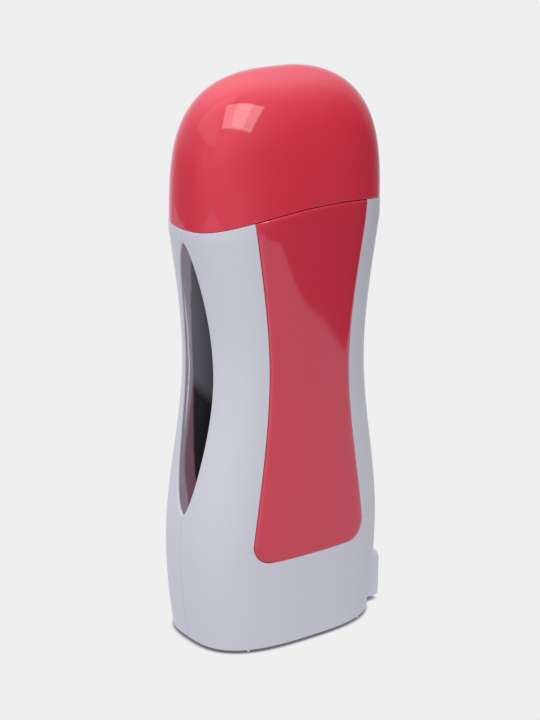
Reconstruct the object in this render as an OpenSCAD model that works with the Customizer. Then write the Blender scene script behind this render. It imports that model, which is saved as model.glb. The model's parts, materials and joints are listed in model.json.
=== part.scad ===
// Hand-held roll-on wax heater: a waisted two-shell casing with a pull-off
// domed cap, side inlays, a sight window and a lift-out wax cartridge.
// Millimetres, +Z up, origin on the casing's axis at the level of the table.
// X runs across the broad side (window at -X, mains inlet at +X), Y through
// the narrow depth (front inlay at -Y, rear inlay at +Y).

/* [Casing outline] */
// Height of the casing's lower edge above the table
foot_h = 1.0; // [0.9:0.05:1.3]
// Width of the casing at its lower edge
base_w = 68.3; // [67.8:0.1:69]
// Depth of the casing at its lower edge
base_d = 45.2; // [44.6:0.1:45.6]
// Width at the hip, the widest place
hip_w = 74.5; // [74:0.1:75]
// Depth at the hip
hip_d = 46.7; // [46.2:0.1:47]
// Height of the hip
hip_z = 34.2; // [33:0.1:35]
// Width at the waist
waist_w = 62.0; // [61.5:0.1:62.5]
// Depth at the waist
waist_d = 43.2; // [42.8:0.1:43.6]
// Height of the waist
waist_z = 95.2; // [94:0.1:96]
// Width at the shoulder, where the cap's dome begins
seam_w = 73.1; // [72.6:0.1:73.6]
// Depth at the shoulder
seam_d = 45.3; // [45:0.1:45.8]
// Height of the shoulder
seam_z = 141.2; // [141:0.1:142]
// Squareness of the cross-section at the table
square_low = 2.88; // [2.8:0.01:2.95]
// Loss of squareness from the table to the top of the cap
square_fall = 0.39; // [0.3:0.01:0.45]
// Wall thickness of the two casing shells
wall = 2.4; // [2.3:0.05:2.5]

/* [Cap] */
// Height of the cap's crown above the table
cap_top = 191.2; // [190:0.1:192.5]
// Wall thickness of the cap
cap_wall = 2.0; // [1.8:0.1:2.1]
// Bluntness of the dome towards its crown
dome_rise = 3.5; // [3.3:0.1:3.8]
// Fullness of the dome across its width
dome_full_w = 2.6; // [2.4:0.1:2.8]
// Fullness of the dome across its depth
dome_full_d = 1.9; // [1.8:0.1:2.1]
// Highest point of the arched joint line between casing and cap
arch_top = 150.0; // [149.6:0.1:150.4]
// Radius of the arched joint line
arch_r = 128; // [120:1:135]
// Offset of the arch's crest towards the inlet side
arch_x = 5; // [2:0.5:6]

/* [Side inlays] */
// Half width of each inlay at the waist
inlay_waist = 16; // [15.5:0.1:16.5]
// Half width of each inlay near its lower end
inlay_low = 23.1; // [22.5:0.1:23.4]
// Half width of each inlay at the joint line
inlay_high = 21.9; // [21.5:0.1:22.5]
// Height of the inlay's straight lower edge
inlay_z = 31.8; // [31.5:0.1:32.5]
// Corner radius of the inlay's lower corners
inlay_r = 6.5; // [5:0.5:7]
// How far the inlay stands proud of the casing
inlay_proud = 0.35; // [0.2:0.05:0.5]
// Depth of the pocket that takes the inlay
inlay_pocket = 1.3; // [1.1:0.1:1.4]

/* [Sight window] */
// Height of the window's lower tip
win_z0 = 46.1; // [45:0.1:47]
// Height of the window's upper tip
win_z1 = 138.4; // [137.5:0.1:139]
// Half width of the window
win_half = 8.1; // [7.8:0.1:8.5]
// Depth of the window's face below the casing's surface
win_sink = 0.6; // [0.4:0.1:0.8]

/* [Mains inlet] */
// Distance of the inlet's face from the axis
inlet_x = 39.2; // [38.8:0.1:39.6]
// Height of the socket's centre
inlet_z = 10.7; // [10.5:0.1:11]
// Width of the inlet's surround
inlet_w = 22; // [21.5:0.1:22.5]
// Height of the surround's upper edge above the table
inlet_top = 18.7; // [18.4:0.1:19]
// Height of the surround's lower edge above the table
inlet_low = 0.6; // [0.4:0.1:1]
// Distance between the two contact pins
pin_pitch = 8.6; // [8.5:0.1:8.7]
// Diameter of a contact pin
pin_d = 2.4; // [2.3:0.1:2.4]
// Depth of the socket
socket_depth = 9; // [8.5:0.1:9.2]

/* [Wax cartridge] */
// Width of the cartridge
cart_w = 52; // [51.6:0.1:52.2]
// Depth of the cartridge
cart_d = 30; // [29.6:0.1:30.2]
// Height of the cartridge's underside
cart_z = 43.7; // [43.7:0.1:44]
// Height of the bottle's shoulder
cart_top = 146; // [145.5:0.1:146]
// Squareness of the cartridge's cross-section
cart_square = 2.6; // [2.5:0.05:2.7]
// Height of the wax surface
wax_top = 128; // [60:1:138]
// Diameter of the roller
roller_d = 19; // [18:0.5:19]
// Length of the roller's barrel
roller_l = 42; // [40:0.5:42]
// Height of the roller's axis
roller_z = 171.2; // [170.5:0.1:171.5]
// Diameter of the roller's axle stubs
axle_d = 4; // [3.5:0.1:4]

/* [Heater] */
// Thickness of the heating plate's wall
plate_t = 1.3; // [1.2:0.1:1.3]
// Half width of the heating plate's wall
plate_half = 13.8; // [12:0.1:13.8]
// Thickness of the heating plate's foot
foot_t = 2; // [1.6:0.1:2]
// Half size of the heating plate's foot
foot_half = 12; // [11:0.1:12]

/* [Hidden] */

gap = 0.15;             // half of the open joint between neighbouring covers
split = 0.05;           // half of the joint between the two shells
slices = 48;            // points round each lofted section
pocket_clear = 0.25;    // room round each inlay
screw_x = 17;           // shell screws, left and right of the axis
screw_z = 37.5;         // height of the shell screws
base_x = 20;            // base screws, left and right of the axis
base_y = 13.3;          // base screws, front and rear of the axis
pad_x = 29;             // half width of the base pad
pad_y = 17;             // half depth of the base pad
nub = [22.9, 19.1];     // small nubs under the casing's edge
post = [[-28, 6], [-28, -6], [-12, 7], [-12, -7]]; // board posts
stud_z = [56, 127];     // heights of the inlay studs
deck_z = 150;           // underside of the collar's deck
spigot_z = 157;         // top of the collar's rim
well_z = 42.2;          // underside of the well
well_top = 149.8;       // top of the well
board_z = 24;           // underside of the circuit board

// ---- outline rules -------------------------------------------------------

function sgn(v) = v < 0 ? -1 : 1;
// cubic step from 0 to 1 with chosen slopes at its ends
function ease(t, m0, m1) = 3*t*t - 2*t*t*t + m0*(t*t*t - 2*t*t + t) + m1*(t*t*t - t*t);
function along(a, b, t, m0, m1) = a + (b - a)*ease(t, m0, m1);
// half width and half depth of the casing below the shoulder
function side(z, b, h, w, s) =
    z < hip_z ? along(b, h, (z - foot_h)/(hip_z - foot_h), 1.9, 0)/2 :
    z < waist_z ? along(h, w, (z - hip_z)/(waist_z - hip_z), 0, 0)/2 :
    along(w, s, (z - waist_z)/(seam_z - waist_z), 0, 1.4)/2;
// the same with the dome above the shoulder, drawn in by off all round
function dome(z, off, full) = pow(1 - pow(min(1, (z - seam_z)/(cap_top - off - seam_z)), dome_rise), 1/full);
function half_w(z, off = 0) = z <= seam_z ? side(z, base_w, hip_w, waist_w, seam_w) - off
                                          : (seam_w/2 - off)*dome(z, off, dome_full_w);
function half_d(z, off = 0) = z <= seam_z ? side(z, base_d, hip_d, waist_d, seam_d) - off
                                          : (seam_d/2 - off)*dome(z, off, dome_full_d);
function squareness(z) = square_low - square_fall*z/cap_top;
// closed superellipse outline
function super(f, b, n, m = slices) = [for (i = [0:m-1]) let (a = 360*(i + 0.5)/m)
    [f*sgn(cos(a))*pow(abs(cos(a)), 2/n), b*sgn(sin(a))*pow(abs(sin(a)), 2/n)]];
function ring(z, off) = [for (p = super(half_w(z, off), half_d(z, off), squareness(z))) [p[0], p[1], z]];
// evenly spaced heights
function steps(a, b, n) = [for (i = [0:n]) a + (b - a)*i/n];
// heights that crowd towards the crown of a dome
function crown(a, b, n) = [for (i = [1:n]) a + (b - a)*sin(88.6*i/n)];
// half width of an inlay at height z
function inlay_half(z) = z < waist_z
    ? along(inlay_waist, inlay_low, (waist_z - z)/(waist_z - inlay_z), 0, 0.9)
    : along(inlay_waist, inlay_high, (z - waist_z)/(arch_top - 4 - waist_z), 0, 1.3);
// half width of the window at height z
function win_w(z) = win_half*pow(max(0, 1 - pow((2*z - win_z0 - win_z1)/(win_z1 - win_z0), 2)), 0.58);

// ---- shared construction shapes -----------------------------------------

// solid through a stack of rings
module loft(zs, off) {
    n = len(zs);
    m = slices;
    polyhedron(
        points = [for (z = zs) each ring(z, off)],
        faces = concat([[for (i = [0:m-1]) i]], [[for (i = [m-1:-1:0]) (n-1)*m + i]],
            [for (k = [0:n-2]) for (i = [0:m-1]) let (j = (i + 1) % m) [k*m + i, (k+1)*m + i, (k+1)*m + j]],
            [for (k = [0:n-2]) for (i = [0:m-1]) let (j = (i + 1) % m) [k*m + i, (k+1)*m + j, k*m + j]]),
        convexity = 4);
}
module body_form(off, z0 = foot_h, z1 = 153, n = 19) loft(steps(z0, z1, n), off);
// solid under the arched joint line
module arch_drum(d) translate([arch_x, 0, arch_top - arch_r]) rotate([90, 0, 0])
    cylinder(r = arch_r + d, h = 80, center = true, $fn = 160);
// half space on one side of the parting plane
module half(s) translate([-60, s > 0 ? split : -60 - split, -5]) cube([120, 60, 220]);
// outline of an inlay in the XZ plane, grown by g
module inlay_outline(g) {
    z0 = inlay_z - g;
    r = inlay_r + g;
    zc = z0 + r;
    xc = inlay_half(zc) + g - r;
    zs = steps(zc, 156, 20);
    polygon(concat(
        [for (z = zs) [inlay_half(min(z, arch_top)) + g, z]],
        [for (i = [20:-1:0]) [-inlay_half(min(zs[i], arch_top)) - g, zs[i]]],
        [for (a = [195:15:270]) [-xc + r*cos(a), zc + r*sin(a)]],
        [for (a = [270:15:345]) [xc + r*cos(a), zc + r*sin(a)]]));
}
module inlay_prism(s, g) translate([0, s*26, 0]) rotate([90, 0, 0])
    linear_extrude(height = 31, center = true) inlay_outline(g);
// outline of the window, grown by g, as a prism along X
module window_prism(g) {
    n = 18;
    zs = [for (i = [0:n]) (win_z0 + win_z1)/2 - (win_z1 - win_z0)/2*cos(180*i/n)];
    zg = [for (i = [0:n]) zs[i] - g*cos(180*i/n)];
    translate([-45, 0, 0]) rotate([90, 0, 90]) linear_extrude(height = 24)
        polygon(concat([for (i = [0:n]) [win_w(zs[i]) + g*sin(180*i/n), zg[i]]],
                       [for (i = [n-1:-1:1]) [-win_w(zs[i]) - g*sin(180*i/n), zg[i]]]));
}
// rounded block along X, centred on the inlet's axis
module inlet_block(x0, x1, w, h, r) translate([x0, 0, inlet_z]) rotate([90, 0, 90])
    linear_extrude(height = x1 - x0) polygon([for (c = [[1,1,0],[-1,1,90],[-1,-1,180],[1,-1,270]])
        for (a = [0:22.5:90]) [c[0]*(w/2 - r) + r*cos(a + c[2]), c[1]*(h/2 - r) + r*sin(a + c[2])]]);
// the inlet's surround, with a tighter radius along its lower edge
module surround(x0, x1, g) translate([x0, 0, 0]) rotate([90, 0, 90]) linear_extrude(height = x1 - x0)
    polygon([for (c = [[1,1,0],[-1,1,90],[-1,-1,180],[1,-1,270]]) for (a = [0:22.5:90]) let (r = (c[1] > 0 ? 3 : 1.6) - g*0.6)
        [c[0]*(inlet_w/2 - g - r) + r*cos(a + c[2]), (c[1] > 0 ? inlet_top - g - r : inlet_low + g + r) + r*sin(a + c[2])]]);
module tube_y(r, y0, y1, fn = 24) rotate([-90, 0, 0]) translate([0, 0, y0]) cylinder(r = r, h = y1 - y0, $fn = fn);
module prism(f, b, n, z0, z1) translate([0, 0, z0]) linear_extrude(height = z1 - z0) polygon(super(f, b, n));

// swept lead with eight sides along a list of points
function unit(v) = v/norm(v);
function heading(p, i) = unit(i == 0 ? p[1] - p[0] : i == len(p)-1 ? p[i] - p[i-1] : unit(p[i+1] - p[i]) + unit(p[i] - p[i-1]));
function lead_ring(p, i, r) = let (t = heading(p, i), u = unit(cross(t, abs(t[1]) > 0.9 ? [1, 0, 0] : [0, 1, 0])), v = cross(t, u))
    [for (k = [0:7]) p[i] + r*cos(45*k)*u + r*sin(45*k)*v];
// smooth curve through hand-set points
function knot(p, i) = p[max(0, min(len(p)-1, i))];
function curve(p, n = 4) = concat([for (i = [0:len(p)-2]) for (k = [0:n-1]) let (t = k/n, a = knot(p, i-1), b = p[i], c = p[i+1], d = knot(p, i+2))
    0.5*((2*b) + (c - a)*t + (2*a - 5*b + 4*c - d)*t*t + (3*b - a - 3*c + d)*t*t*t)], [p[len(p)-1]]);
module lead(p, d) {
    q = curve(p);
    n = len(q);
    polyhedron(points = [for (i = [0:n-1]) each lead_ring(q, i, d/2)],
        faces = concat([[for (k = [0:7]) k]], [[for (k = [7:-1:0]) (n-1)*8 + k]],
            [for (i = [0:n-2]) for (k = [0:7]) let (j = (k+1) % 8) [i*8 + k, (i+1)*8 + j, i*8 + j]],
            [for (i = [0:n-2]) for (k = [0:7]) let (j = (k+1) % 8) [i*8 + k, (i+1)*8 + k, (i+1)*8 + j]]));
}

// ---- casing ---------------------------------------------------------------

// one casing shell with its ledge, screw tower and base screw towers
module shell(s) resize([0, 0, 0]) difference() {
    union() {
        difference() {
            intersection() { body_form(0); arch_drum(-gap); half(s); }
            body_form(wall, -2, 158, 20);
            intersection() {
                difference() { body_form(-3, -2, 158, 20); body_form(inlay_pocket, -4, 160, 20); }
                inlay_prism(s, pocket_clear);
            }
        }
        for (x = [-nub[0], nub[0]]) translate([x, s*nub[1], 0.35]) cylinder(r = 0.45, h = foot_h + 0.3, $fn = 12);
        intersection() {
            body_form(1.6, foot_h + 2.6, 140, 18);
            half(s);
            union() {
                // ledge that carries the well
                translate([-30, s > 0 ? 13.2 : -33.2, well_z - 2.4]) cube([60, 20, 2.3]);
                // screw towers that pull the shells together
                for (x = [-screw_x, screw_x]) translate([x, 0, screw_z]) {
                    tube_y(3.2, s > 0 ? 0 : -24, s > 0 ? 24 : 0);
                    if (s > 0) tube_y(4.2, 14.6, 24);
                }
                // towers for the base screws
                for (x = [-base_x, base_x]) translate([x, s*base_y, foot_h + 3]) {
                    cylinder(r = 2.7, h = 11, $fn = 24);
                    translate([-0.8, s > 0 ? 0 : -9, 0]) cube([1.6, 9, 11]);
                }
            }
        }
    }
    window_prism(0);
    inlet_block(25, 45, 19.9, 11.5, 1.6);
    for (z = stud_z) translate([0, 0, z]) tube_y(1.7, s > 0 ? 10 : -30, s > 0 ? 30 : -10, 16);
    // notch for the heating plate's foot
    if (s > 0) translate([-plate_half - 0.5, 10, cart_z - 2.6]) cube([2*plate_half + 1, 7.2, 4]);
    for (x = [-screw_x, screw_x]) translate([x, 0, screw_z]) {
        if (s > 0) { tube_y(1.65, -1, 30, 20); tube_y(3, 17.2, 30); }
        else tube_y(1.2, -14, 1, 20);
    }
    for (x = [-base_x, base_x]) translate([x, s*base_y, foot_h]) cylinder(r = 1.2, h = 11.6, $fn = 20);
}
module front_shell() color([0.86, 0.87, 0.92]) shell(-1);
module rear_shell() color([0.86, 0.87, 0.92]) shell(1);

// decorative grip inlay with two locating studs
module inlay(s) resize([0, 0, 0]) union() {
    intersection() {
        difference() { body_form(-inlay_proud, 20, 154, 18); body_form(inlay_pocket - 0.08, 18, 156, 18); }
        arch_drum(-gap);
        inlay_prism(s, 0);
    }
    for (z = stud_z) let (y1 = half_d(z) - inlay_pocket + 0.4)
        translate([0, 0, z]) tube_y(1.5, s > 0 ? 17.9 : -y1, s > 0 ? y1 : -17.9, 16);
}
module front_inlay() color([0.80, 0.22, 0.33]) inlay(-1);
module rear_inlay() color([0.80, 0.22, 0.33]) inlay(1);

// smoked lens, held behind the casing by its flange
module sight_window() color([0.25, 0.22, 0.25, 0.7]) resize([0, 0, 0]) union() {
    intersection() {
        difference() { body_form(win_sink, 40, 144, 14); body_form(3.3, 38, 146, 14); }
        window_prism(-0.12);
    }
    intersection() {
        difference() { body_form(wall + 0.1, 40, 144, 14); body_form(3.3, 38, 146, 14); }
        window_prism(1.8);
    }
}

// ring that ties the shells together at the top and guides the cap
module neck_collar() color([0.88, 0.88, 0.91]) resize([0, 0, 0]) difference() {
    body_form(wall + 0.15, 140.6, spigot_z, 5);
    body_form(3.95, 137, deck_z, 4);
    body_form(3.95, deck_z + 1.8, spigot_z + 2, 3);
    prism(cart_w/2 + 0.6, cart_d/2 + 0.6, cart_square, 130, 160);
}

// closes the casing from below: a disc between the shells and the posts that
// carry the circuit board
module base_cover() color([0.80, 0.81, 0.86]) difference() {
    union() {
        prism(base_w/2 - wall - 0.2, base_d/2 - wall - 0.2, squareness(0), foot_h, foot_h + 2.4);
        for (p = post) translate([p[0], p[1], foot_h + 2]) {
            cylinder(r = 2.2, h = board_z - foot_h - 2.05, $fn = 32);
            cylinder(r = 0.9, h = board_z - foot_h + 0.6, $fn = 32);
        }
    }
    for (x = [-base_x, base_x], y = [-base_y, base_y]) translate([x, y, 0]) {
        cylinder(r = 1.6, h = 10, $fn = 32);
        translate([0, 0, foot_h - 1]) cylinder(r = 3, h = 2.3, $fn = 32);
    }
    prism(pad_x + 0.15, pad_y + 0.15, squareness(0), -1, foot_h + 0.17);
}
// non-slip pad that covers the base screws and holds the casing off the table
module base_pad() color([0.25, 0.25, 0.28]) prism(pad_x, pad_y, squareness(0), 0, foot_h + 0.15);
// pan-headed screw pointing up, seat at z = 0
module screw(l, rh, hh, r) {
    difference() {
        translate([0, 0, -hh]) cylinder(r = rh, h = hh, $fn = 32);
        for (a = [0, 90]) rotate([0, 0, a]) translate([-rh*0.6, -0.35, -hh - 0.1]) cube([rh*1.2, 0.7, 0.9]);
    }
    cylinder(r = r, h = l, $fn = 32);
}
module base_screws() color("silver") for (x = [-base_x, base_x], y = [-base_y, base_y])
    translate([x, y, foot_h + 1.25]) screw(9, 2.7, 1.05, 1.1);
module shell_screws() color("silver") for (x = [-screw_x, screw_x])
    translate([x, 17.25, screw_z]) rotate([90, 0, 0]) screw(29, 2.7, 1.7, 1.1);

// ---- mains inlet ----------------------------------------------------------

module socket_hole(x0, x1) {
    for (y = [-pin_pitch/2, pin_pitch/2]) translate([x0, y, inlet_z]) rotate([0, 90, 0]) cylinder(r = 4.1, h = x1 - x0, $fn = 28);
    translate([x0, -pin_pitch/2, inlet_z - 3.5]) cube([x1 - x0, pin_pitch, 7]);
}
module inlet_housing() color([0.78, 0.80, 0.87]) difference() {
    union() {
        resize([0, 0, 0]) difference() {
            // softened front edge
            hull() {
                surround(31, inlet_x - 1.5, 0);
                surround(31.5, inlet_x, 1.5);
            }
            body_form(-0.06, -3, 41, 7);
        }
        inlet_block(28.8, inlet_x - 2, 19.6, 11.2, 1.4);
        inlet_block(28.3, 30, 20.6, 13.6, 1.4);
    }
    socket_hole(inlet_x - socket_depth, 45);
    for (y = [-pin_pitch/2, pin_pitch/2]) translate([20, y, inlet_z]) rotate([0, 90, 0]) cylinder(r = pin_d/2 + 0.05, h = 20, $fn = 20);
}
module inlet_pins() color([0.85, 0.78, 0.55]) for (y = [-pin_pitch/2, pin_pitch/2]) translate([0, y, inlet_z]) {
    translate([25.6, 0, 0]) rotate([0, 90, 0]) cylinder(r = pin_d/2, h = inlet_x - 1.8 - 25.6 - 0.8, $fn = 32);
    translate([inlet_x - 2.6, 0, 0]) rotate([0, 90, 0]) cylinder(r1 = pin_d/2, r2 = pin_d/2 - 0.6, h = 0.8, $fn = 32);
}

// ---- heater ---------------------------------------------------------------

// guide for the cartridge, open towards the window, the plate and the spring
module cartridge_well() color([0.18, 0.18, 0.20]) difference() {
    prism(cart_w/2 + 1.7, cart_d/2 + 1.7, cart_square, well_z, well_top);
    prism(cart_w/2 + 0.5, cart_d/2 + 0.5, cart_square, well_z + 1.2, well_top + 1);
    translate([-40, -12.5, well_z + 5]) cube([25, 25, 94]);
    translate([-plate_half - 0.4, 8, well_z - 1]) cube([2*plate_half + 0.8, 20, 99]);
    translate([-foot_half - 0.4, -foot_half - 0.4, well_z - 1]) cube([2*foot_half + 0.8, 30, 4]);
    translate([-5, -25, waist_z - 28.5]) cube([10, 18, 57]);
}
// aluminium plate: a wall along the cartridge's rear and a foot below it
module heating_plate() color([0.78, 0.78, 0.80]) difference() {
    union() {
        intersection() {
            difference() {
                prism(cart_w/2 + 0.3 + plate_t, cart_d/2 + 0.3 + plate_t, cart_square, cart_z - 0.3 - foot_t, 139);
                prism(cart_w/2 + 0.3, cart_d/2 + 0.3, cart_square, 30, 150);
            }
            translate([-plate_half, 9, 0]) cube([2*plate_half, 20, 160]);
        }
        translate([-foot_half, -foot_half, cart_z - 0.3 - foot_t]) cube([2*foot_half, foot_half + 15.6, foot_t]);
    }
    for (y = [-10, 10]) translate([0, y, 30]) cylinder(r = 1.05, h = 20, $fn = 32);
}
ptc_top = cart_z - 0.3 - foot_t - 0.25;
// ceramic heating stack: tile between two contact strips
module ptc_heater() color([0.55, 0.5, 0.45]) {
    translate([-10.5, -6, ptc_top - 3.6]) cube([17, 12, 0.5]);
    translate([-9.5, -5.5, ptc_top - 3.05]) cube([15, 11, 2.5]);
    translate([-10.5, -6, ptc_top - 0.5]) cube([17, 12, 0.5]);
    translate([6.45, -4.5, ptc_top - 3.6]) cube([3.6, 2.2, 0.5]);
    translate([6.45, 2.3, ptc_top - 0.5]) cube([3.6, 2.2, 0.5]);
}
// amber film wrapped round the stack
module insulation_film() color([0.85, 0.55, 0.15, 0.8]) difference() {
    translate([-10.8, -6.35, ptc_top - 3.85]) cube([17.6, 12.7, 4.05]);
    translate([-12, -6.1, ptc_top - 3.65]) cube([20, 12.2, 3.7]);
}
// spring strap that presses the stack against the foot
module heater_clamp() color([0.7, 0.7, 0.72]) difference() {
    union() {
        translate([-3.5, -6.9, ptc_top - 4.4]) cube([7, 13.8, 0.5]);
        for (s = [0, 1]) mirror([0, s, 0]) {
            translate([-3.5, 6.5, ptc_top - 4.4]) cube([7, 0.5, 4.6]);
            translate([-3.5, 6.5, ptc_top - 0.3]) cube([7, 5.4, 0.5]);
        }
    }
    for (y = [-10, 10]) translate([0, y, 30]) cylinder(r = 1.05, h = 20, $fn = 32);
}
module clamp_rivets() color("silver") for (y = [-10, 10]) translate([0, y, 0]) {
    translate([0, 0, ptc_top - 1.15]) cylinder(r = 1.9, h = 0.8, $fn = 32);
    translate([0, 0, ptc_top - 0.5]) cylinder(r = 1, h = foot_t + 0.7, $fn = 32);
}
module thermal_fuse() color([0.86, 0.84, 0.78]) translate([0, -9.4, ptc_top - 6.2]) rotate([0, 90, 0]) {
    translate([0, 0, -5.5]) cylinder(r = 1.9, h = 11, $fn = 32);
    translate([0, 0, -8.5]) cylinder(r = 0.4, h = 17, $fn = 32);
}
// bowed strip that keeps the cartridge against the plate
module leaf_spring() color([0.72, 0.73, 0.76]) translate([-4, 0, waist_z]) rotate([90, 0, 90])
    linear_extrude(height = 8) intersection() {
        translate([-15.4 - 254, 0]) difference() { circle(r = 254, $fn = 200); circle(r = 253.6, $fn = 200); }
        translate([-20, -31]) square([8, 62]);
    }

// ---- electrics --------------------------------------------------------------

module circuit_board() color([0.1, 0.4, 0.25]) difference() {
    translate([-31, -10, board_z]) cube([23, 20, 1.6]);
    for (p = post) translate([p[0], p[1], 20]) cylinder(r = 1, h = 10, $fn = 32);
}
module board_parts() {
    color([0.75, 0.65, 0.45]) translate([-20, 3, board_z + 2.9]) rotate([0, 90, 0]) {
        translate([0, 0, -3.2]) cylinder(r = 1.2, h = 6.4, $fn = 32);
        translate([0, 0, -4.6]) cylinder(r = 0.3, h = 9.2, $fn = 32);
    }
    color([0.1, 0.1, 0.1]) translate([-20, -3, board_z + 2.7]) rotate([0, 90, 0]) {
        translate([0, 0, -2.1]) cylinder(r = 1, h = 4.2, $fn = 32);
        translate([0, 0, -4.2]) cylinder(r = 0.3, h = 8.4, $fn = 32);
    }
}
module indicator_led() color([0.9, 0.1, 0.1, 0.8]) translate([-28.4, 0, board_z + 1.65]) {
    for (y = [-1.2, 0.8]) translate([-0.25, y, 0]) cube([0.5, 0.5, 9]);
    translate([0, 0, 8.9]) cylinder(r = 1.9, h = 1, $fn = 32);
    translate([0, 0, 8.9]) cylinder(r = 1.5, h = 3.8, $fn = 32);
    translate([0, 0, 12.7]) sphere(r = 1.5, $fn = 32);
}
module live_lead() color([0.5, 0.28, 0.15])
    lead([[25.4, -4.3, 10.7], [22, -4.3, 11], [17, -6, 15], [14.5, -8.5, 23], [12, -9.4, 31], [9.1, -9.4, 34.95]], 1.3);
module neutral_lead() color([0.2, 0.35, 0.75])
    lead([[25.4, 4.3, 10.7], [22, 4.3, 11], [16, 6, 15], [12.5, 7, 23], [11.5, 5, 32], [11.2, 3.6, 37], [10.8, 3.4, 40.9]], 1.3);
module link_lead() color([0.85, 0.85, 0.85])
    lead([[-8.8, -9.4, 34.95], [-11, -8.6, 32.5], [-8, -5, 30.5], [2, -3, 30], [9, -3.2, 32.5], [10.8, -3.4, 37.8]], 1.3);
module board_leads() color([0.15, 0.15, 0.15]) {
    lead([[24.6, -4.3, 9.1], [20, -3.4, 8.4], [8, -2.5, 10], [-3, -3, 17], [-5.8, -3.8, 23.5], [-7.2, -3.5, 26.9], [-9, -3.2, 26.9], [-12.5, -3, 26.3]], 1);
    lead([[24.6, 4.3, 9.1], [20, 3.4, 8.4], [8, 2.5, 10], [-3, 3, 17], [-5.8, 3.8, 23.5], [-7.2, 3.5, 26.9], [-9, 3.2, 26.9], [-12.5, 3, 26.3]], 1);
}

// ---- wax cartridge ----------------------------------------------------------

module cartridge_bottle() color([0.92, 0.90, 0.88, 0.6]) difference() {
    union() {
        prism(cart_w/2 - 1.2, cart_d/2 - 1.2, cart_square, cart_z, cart_z + 2);
        prism(cart_w/2, cart_d/2, cart_square, cart_z + 1.2, cart_top);
        prism(cart_w/2 - 1.8, cart_d/2 - 1.8, cart_square, cart_top - 1, cart_top + 5);
    }
    prism(cart_w/2 - 1.1, cart_d/2 - 1.1, cart_square, cart_z + 2.3, cart_top - 1.4);
    prism(cart_w/2 - 3, cart_d/2 - 3, cart_square, cart_z + 10, cart_top + 10);
}
module wax_fill() color([0.55, 0.16, 0.18]) prism(cart_w/2 - 1.2, cart_d/2 - 1.2, cart_square, cart_z + 2.4, wax_top);
// snap-on head: skirt over the bottle's neck, saddle and ears for the roller
module roller_head() color([0.93, 0.92, 0.93]) difference() {
    union() {
        prism(cart_w/2, cart_d/2, cart_square, cart_top + 0.1, cart_top + 8);
        intersection() {
            translate([-24.6, 0, 0]) rotate([90, 0, 90]) linear_extrude(height = 49.2)
                polygon([[-14, cart_top + 7], [14, cart_top + 7], [13.4, 158], [12.2, 163], [11.6, 168.4], [11.2, 169.4], [-11.2, 169.4], [-11.6, 168.4], [-12.2, 163], [-13.4, 158]]);
            prism(25.2, 16, 3.2, 140, 180);
        }
        for (s = [0, 1]) mirror([s, 0, 0]) translate([roller_l/2 + 0.4, 0, 0]) {
            translate([0, 0, roller_z]) rotate([0, 90, 0]) cylinder(r = 4.4, h = 3, $fn = 32);
            translate([0, -4.4, 160]) cube([3, 8.8, roller_z - 160]);
        }
    }
    prism(cart_w/2 - 1.7, cart_d/2 - 1.7, cart_square, cart_top - 1, cart_top + 5.2);
    translate([-19, -6.5, cart_top]) cube([38, 13, 20]);
    translate([-roller_l/2 - 0.35, 0, roller_z]) rotate([0, 90, 0]) cylinder(r = roller_d/2 + 0.4, h = roller_l + 0.7, $fn = 64);
    translate([-roller_l/2 - 2.7, 0, roller_z]) rotate([0, 90, 0]) cylinder(r = axle_d/2 + 0.06, h = roller_l + 5.4, $fn = 32);
}
module roller() color([0.90, 0.88, 0.90]) translate([0, 0, roller_z]) rotate([0, 90, 0]) {
    cylinder(r = roller_d/2, h = roller_l, center = true, $fn = 64);
    cylinder(r = axle_d/2, h = roller_l + 5, center = true, $fn = 32);
}

// ---- cap --------------------------------------------------------------------

module cap() color([0.85, 0.22, 0.33]) resize([0, 0, 0]) difference() {
    loft(concat(steps(140.5, 156, 2), crown(156, cap_top, 9)), 0);
    loft(concat(steps(139, 156, 2), crown(156, cap_top - cap_wall, 8)), cap_wall);
    arch_drum(gap);
}

front_shell();
rear_shell();
front_inlay();
rear_inlay();
sight_window();
neck_collar();
base_cover();
base_pad();
base_screws();
shell_screws();
inlet_housing();
inlet_pins();
cartridge_well();
heating_plate();
ptc_heater();
insulation_film();
heater_clamp();
clamp_rivets();
thermal_fuse();
leaf_spring();
circuit_board();
board_parts();
indicator_led();
live_lead();
neutral_lead();
link_lead();
board_leads();
cartridge_bottle();
wax_fill();
roller_head();
roller();
cap();
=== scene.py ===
import json
import math

import bpy
import numpy as np
from mathutils import Matrix, Quaternion, Vector
from mathutils.geometry import delaunay_2d_cdt


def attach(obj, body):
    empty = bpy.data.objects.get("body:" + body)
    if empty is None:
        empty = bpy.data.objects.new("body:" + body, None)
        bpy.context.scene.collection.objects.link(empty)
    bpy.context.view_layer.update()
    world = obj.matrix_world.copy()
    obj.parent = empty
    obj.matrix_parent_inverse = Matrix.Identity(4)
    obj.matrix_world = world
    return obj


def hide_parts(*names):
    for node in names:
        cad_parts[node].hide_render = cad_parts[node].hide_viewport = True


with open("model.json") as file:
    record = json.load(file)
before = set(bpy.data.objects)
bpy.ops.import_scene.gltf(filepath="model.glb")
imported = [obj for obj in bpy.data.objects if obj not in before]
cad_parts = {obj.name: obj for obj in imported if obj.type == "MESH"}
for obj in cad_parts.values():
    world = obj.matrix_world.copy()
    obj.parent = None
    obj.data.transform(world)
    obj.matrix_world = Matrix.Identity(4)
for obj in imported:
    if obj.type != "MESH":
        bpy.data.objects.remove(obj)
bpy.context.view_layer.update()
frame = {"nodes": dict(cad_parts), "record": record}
CAD = frame["nodes"]
SLOTS = {s["node"]: s["material_slot"] for s in frame["record"]["subparts"]}
BODY = {n: b for b, ns in frame["record"]["behaviour"]["bodies"].items() for n in ns}

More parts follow.
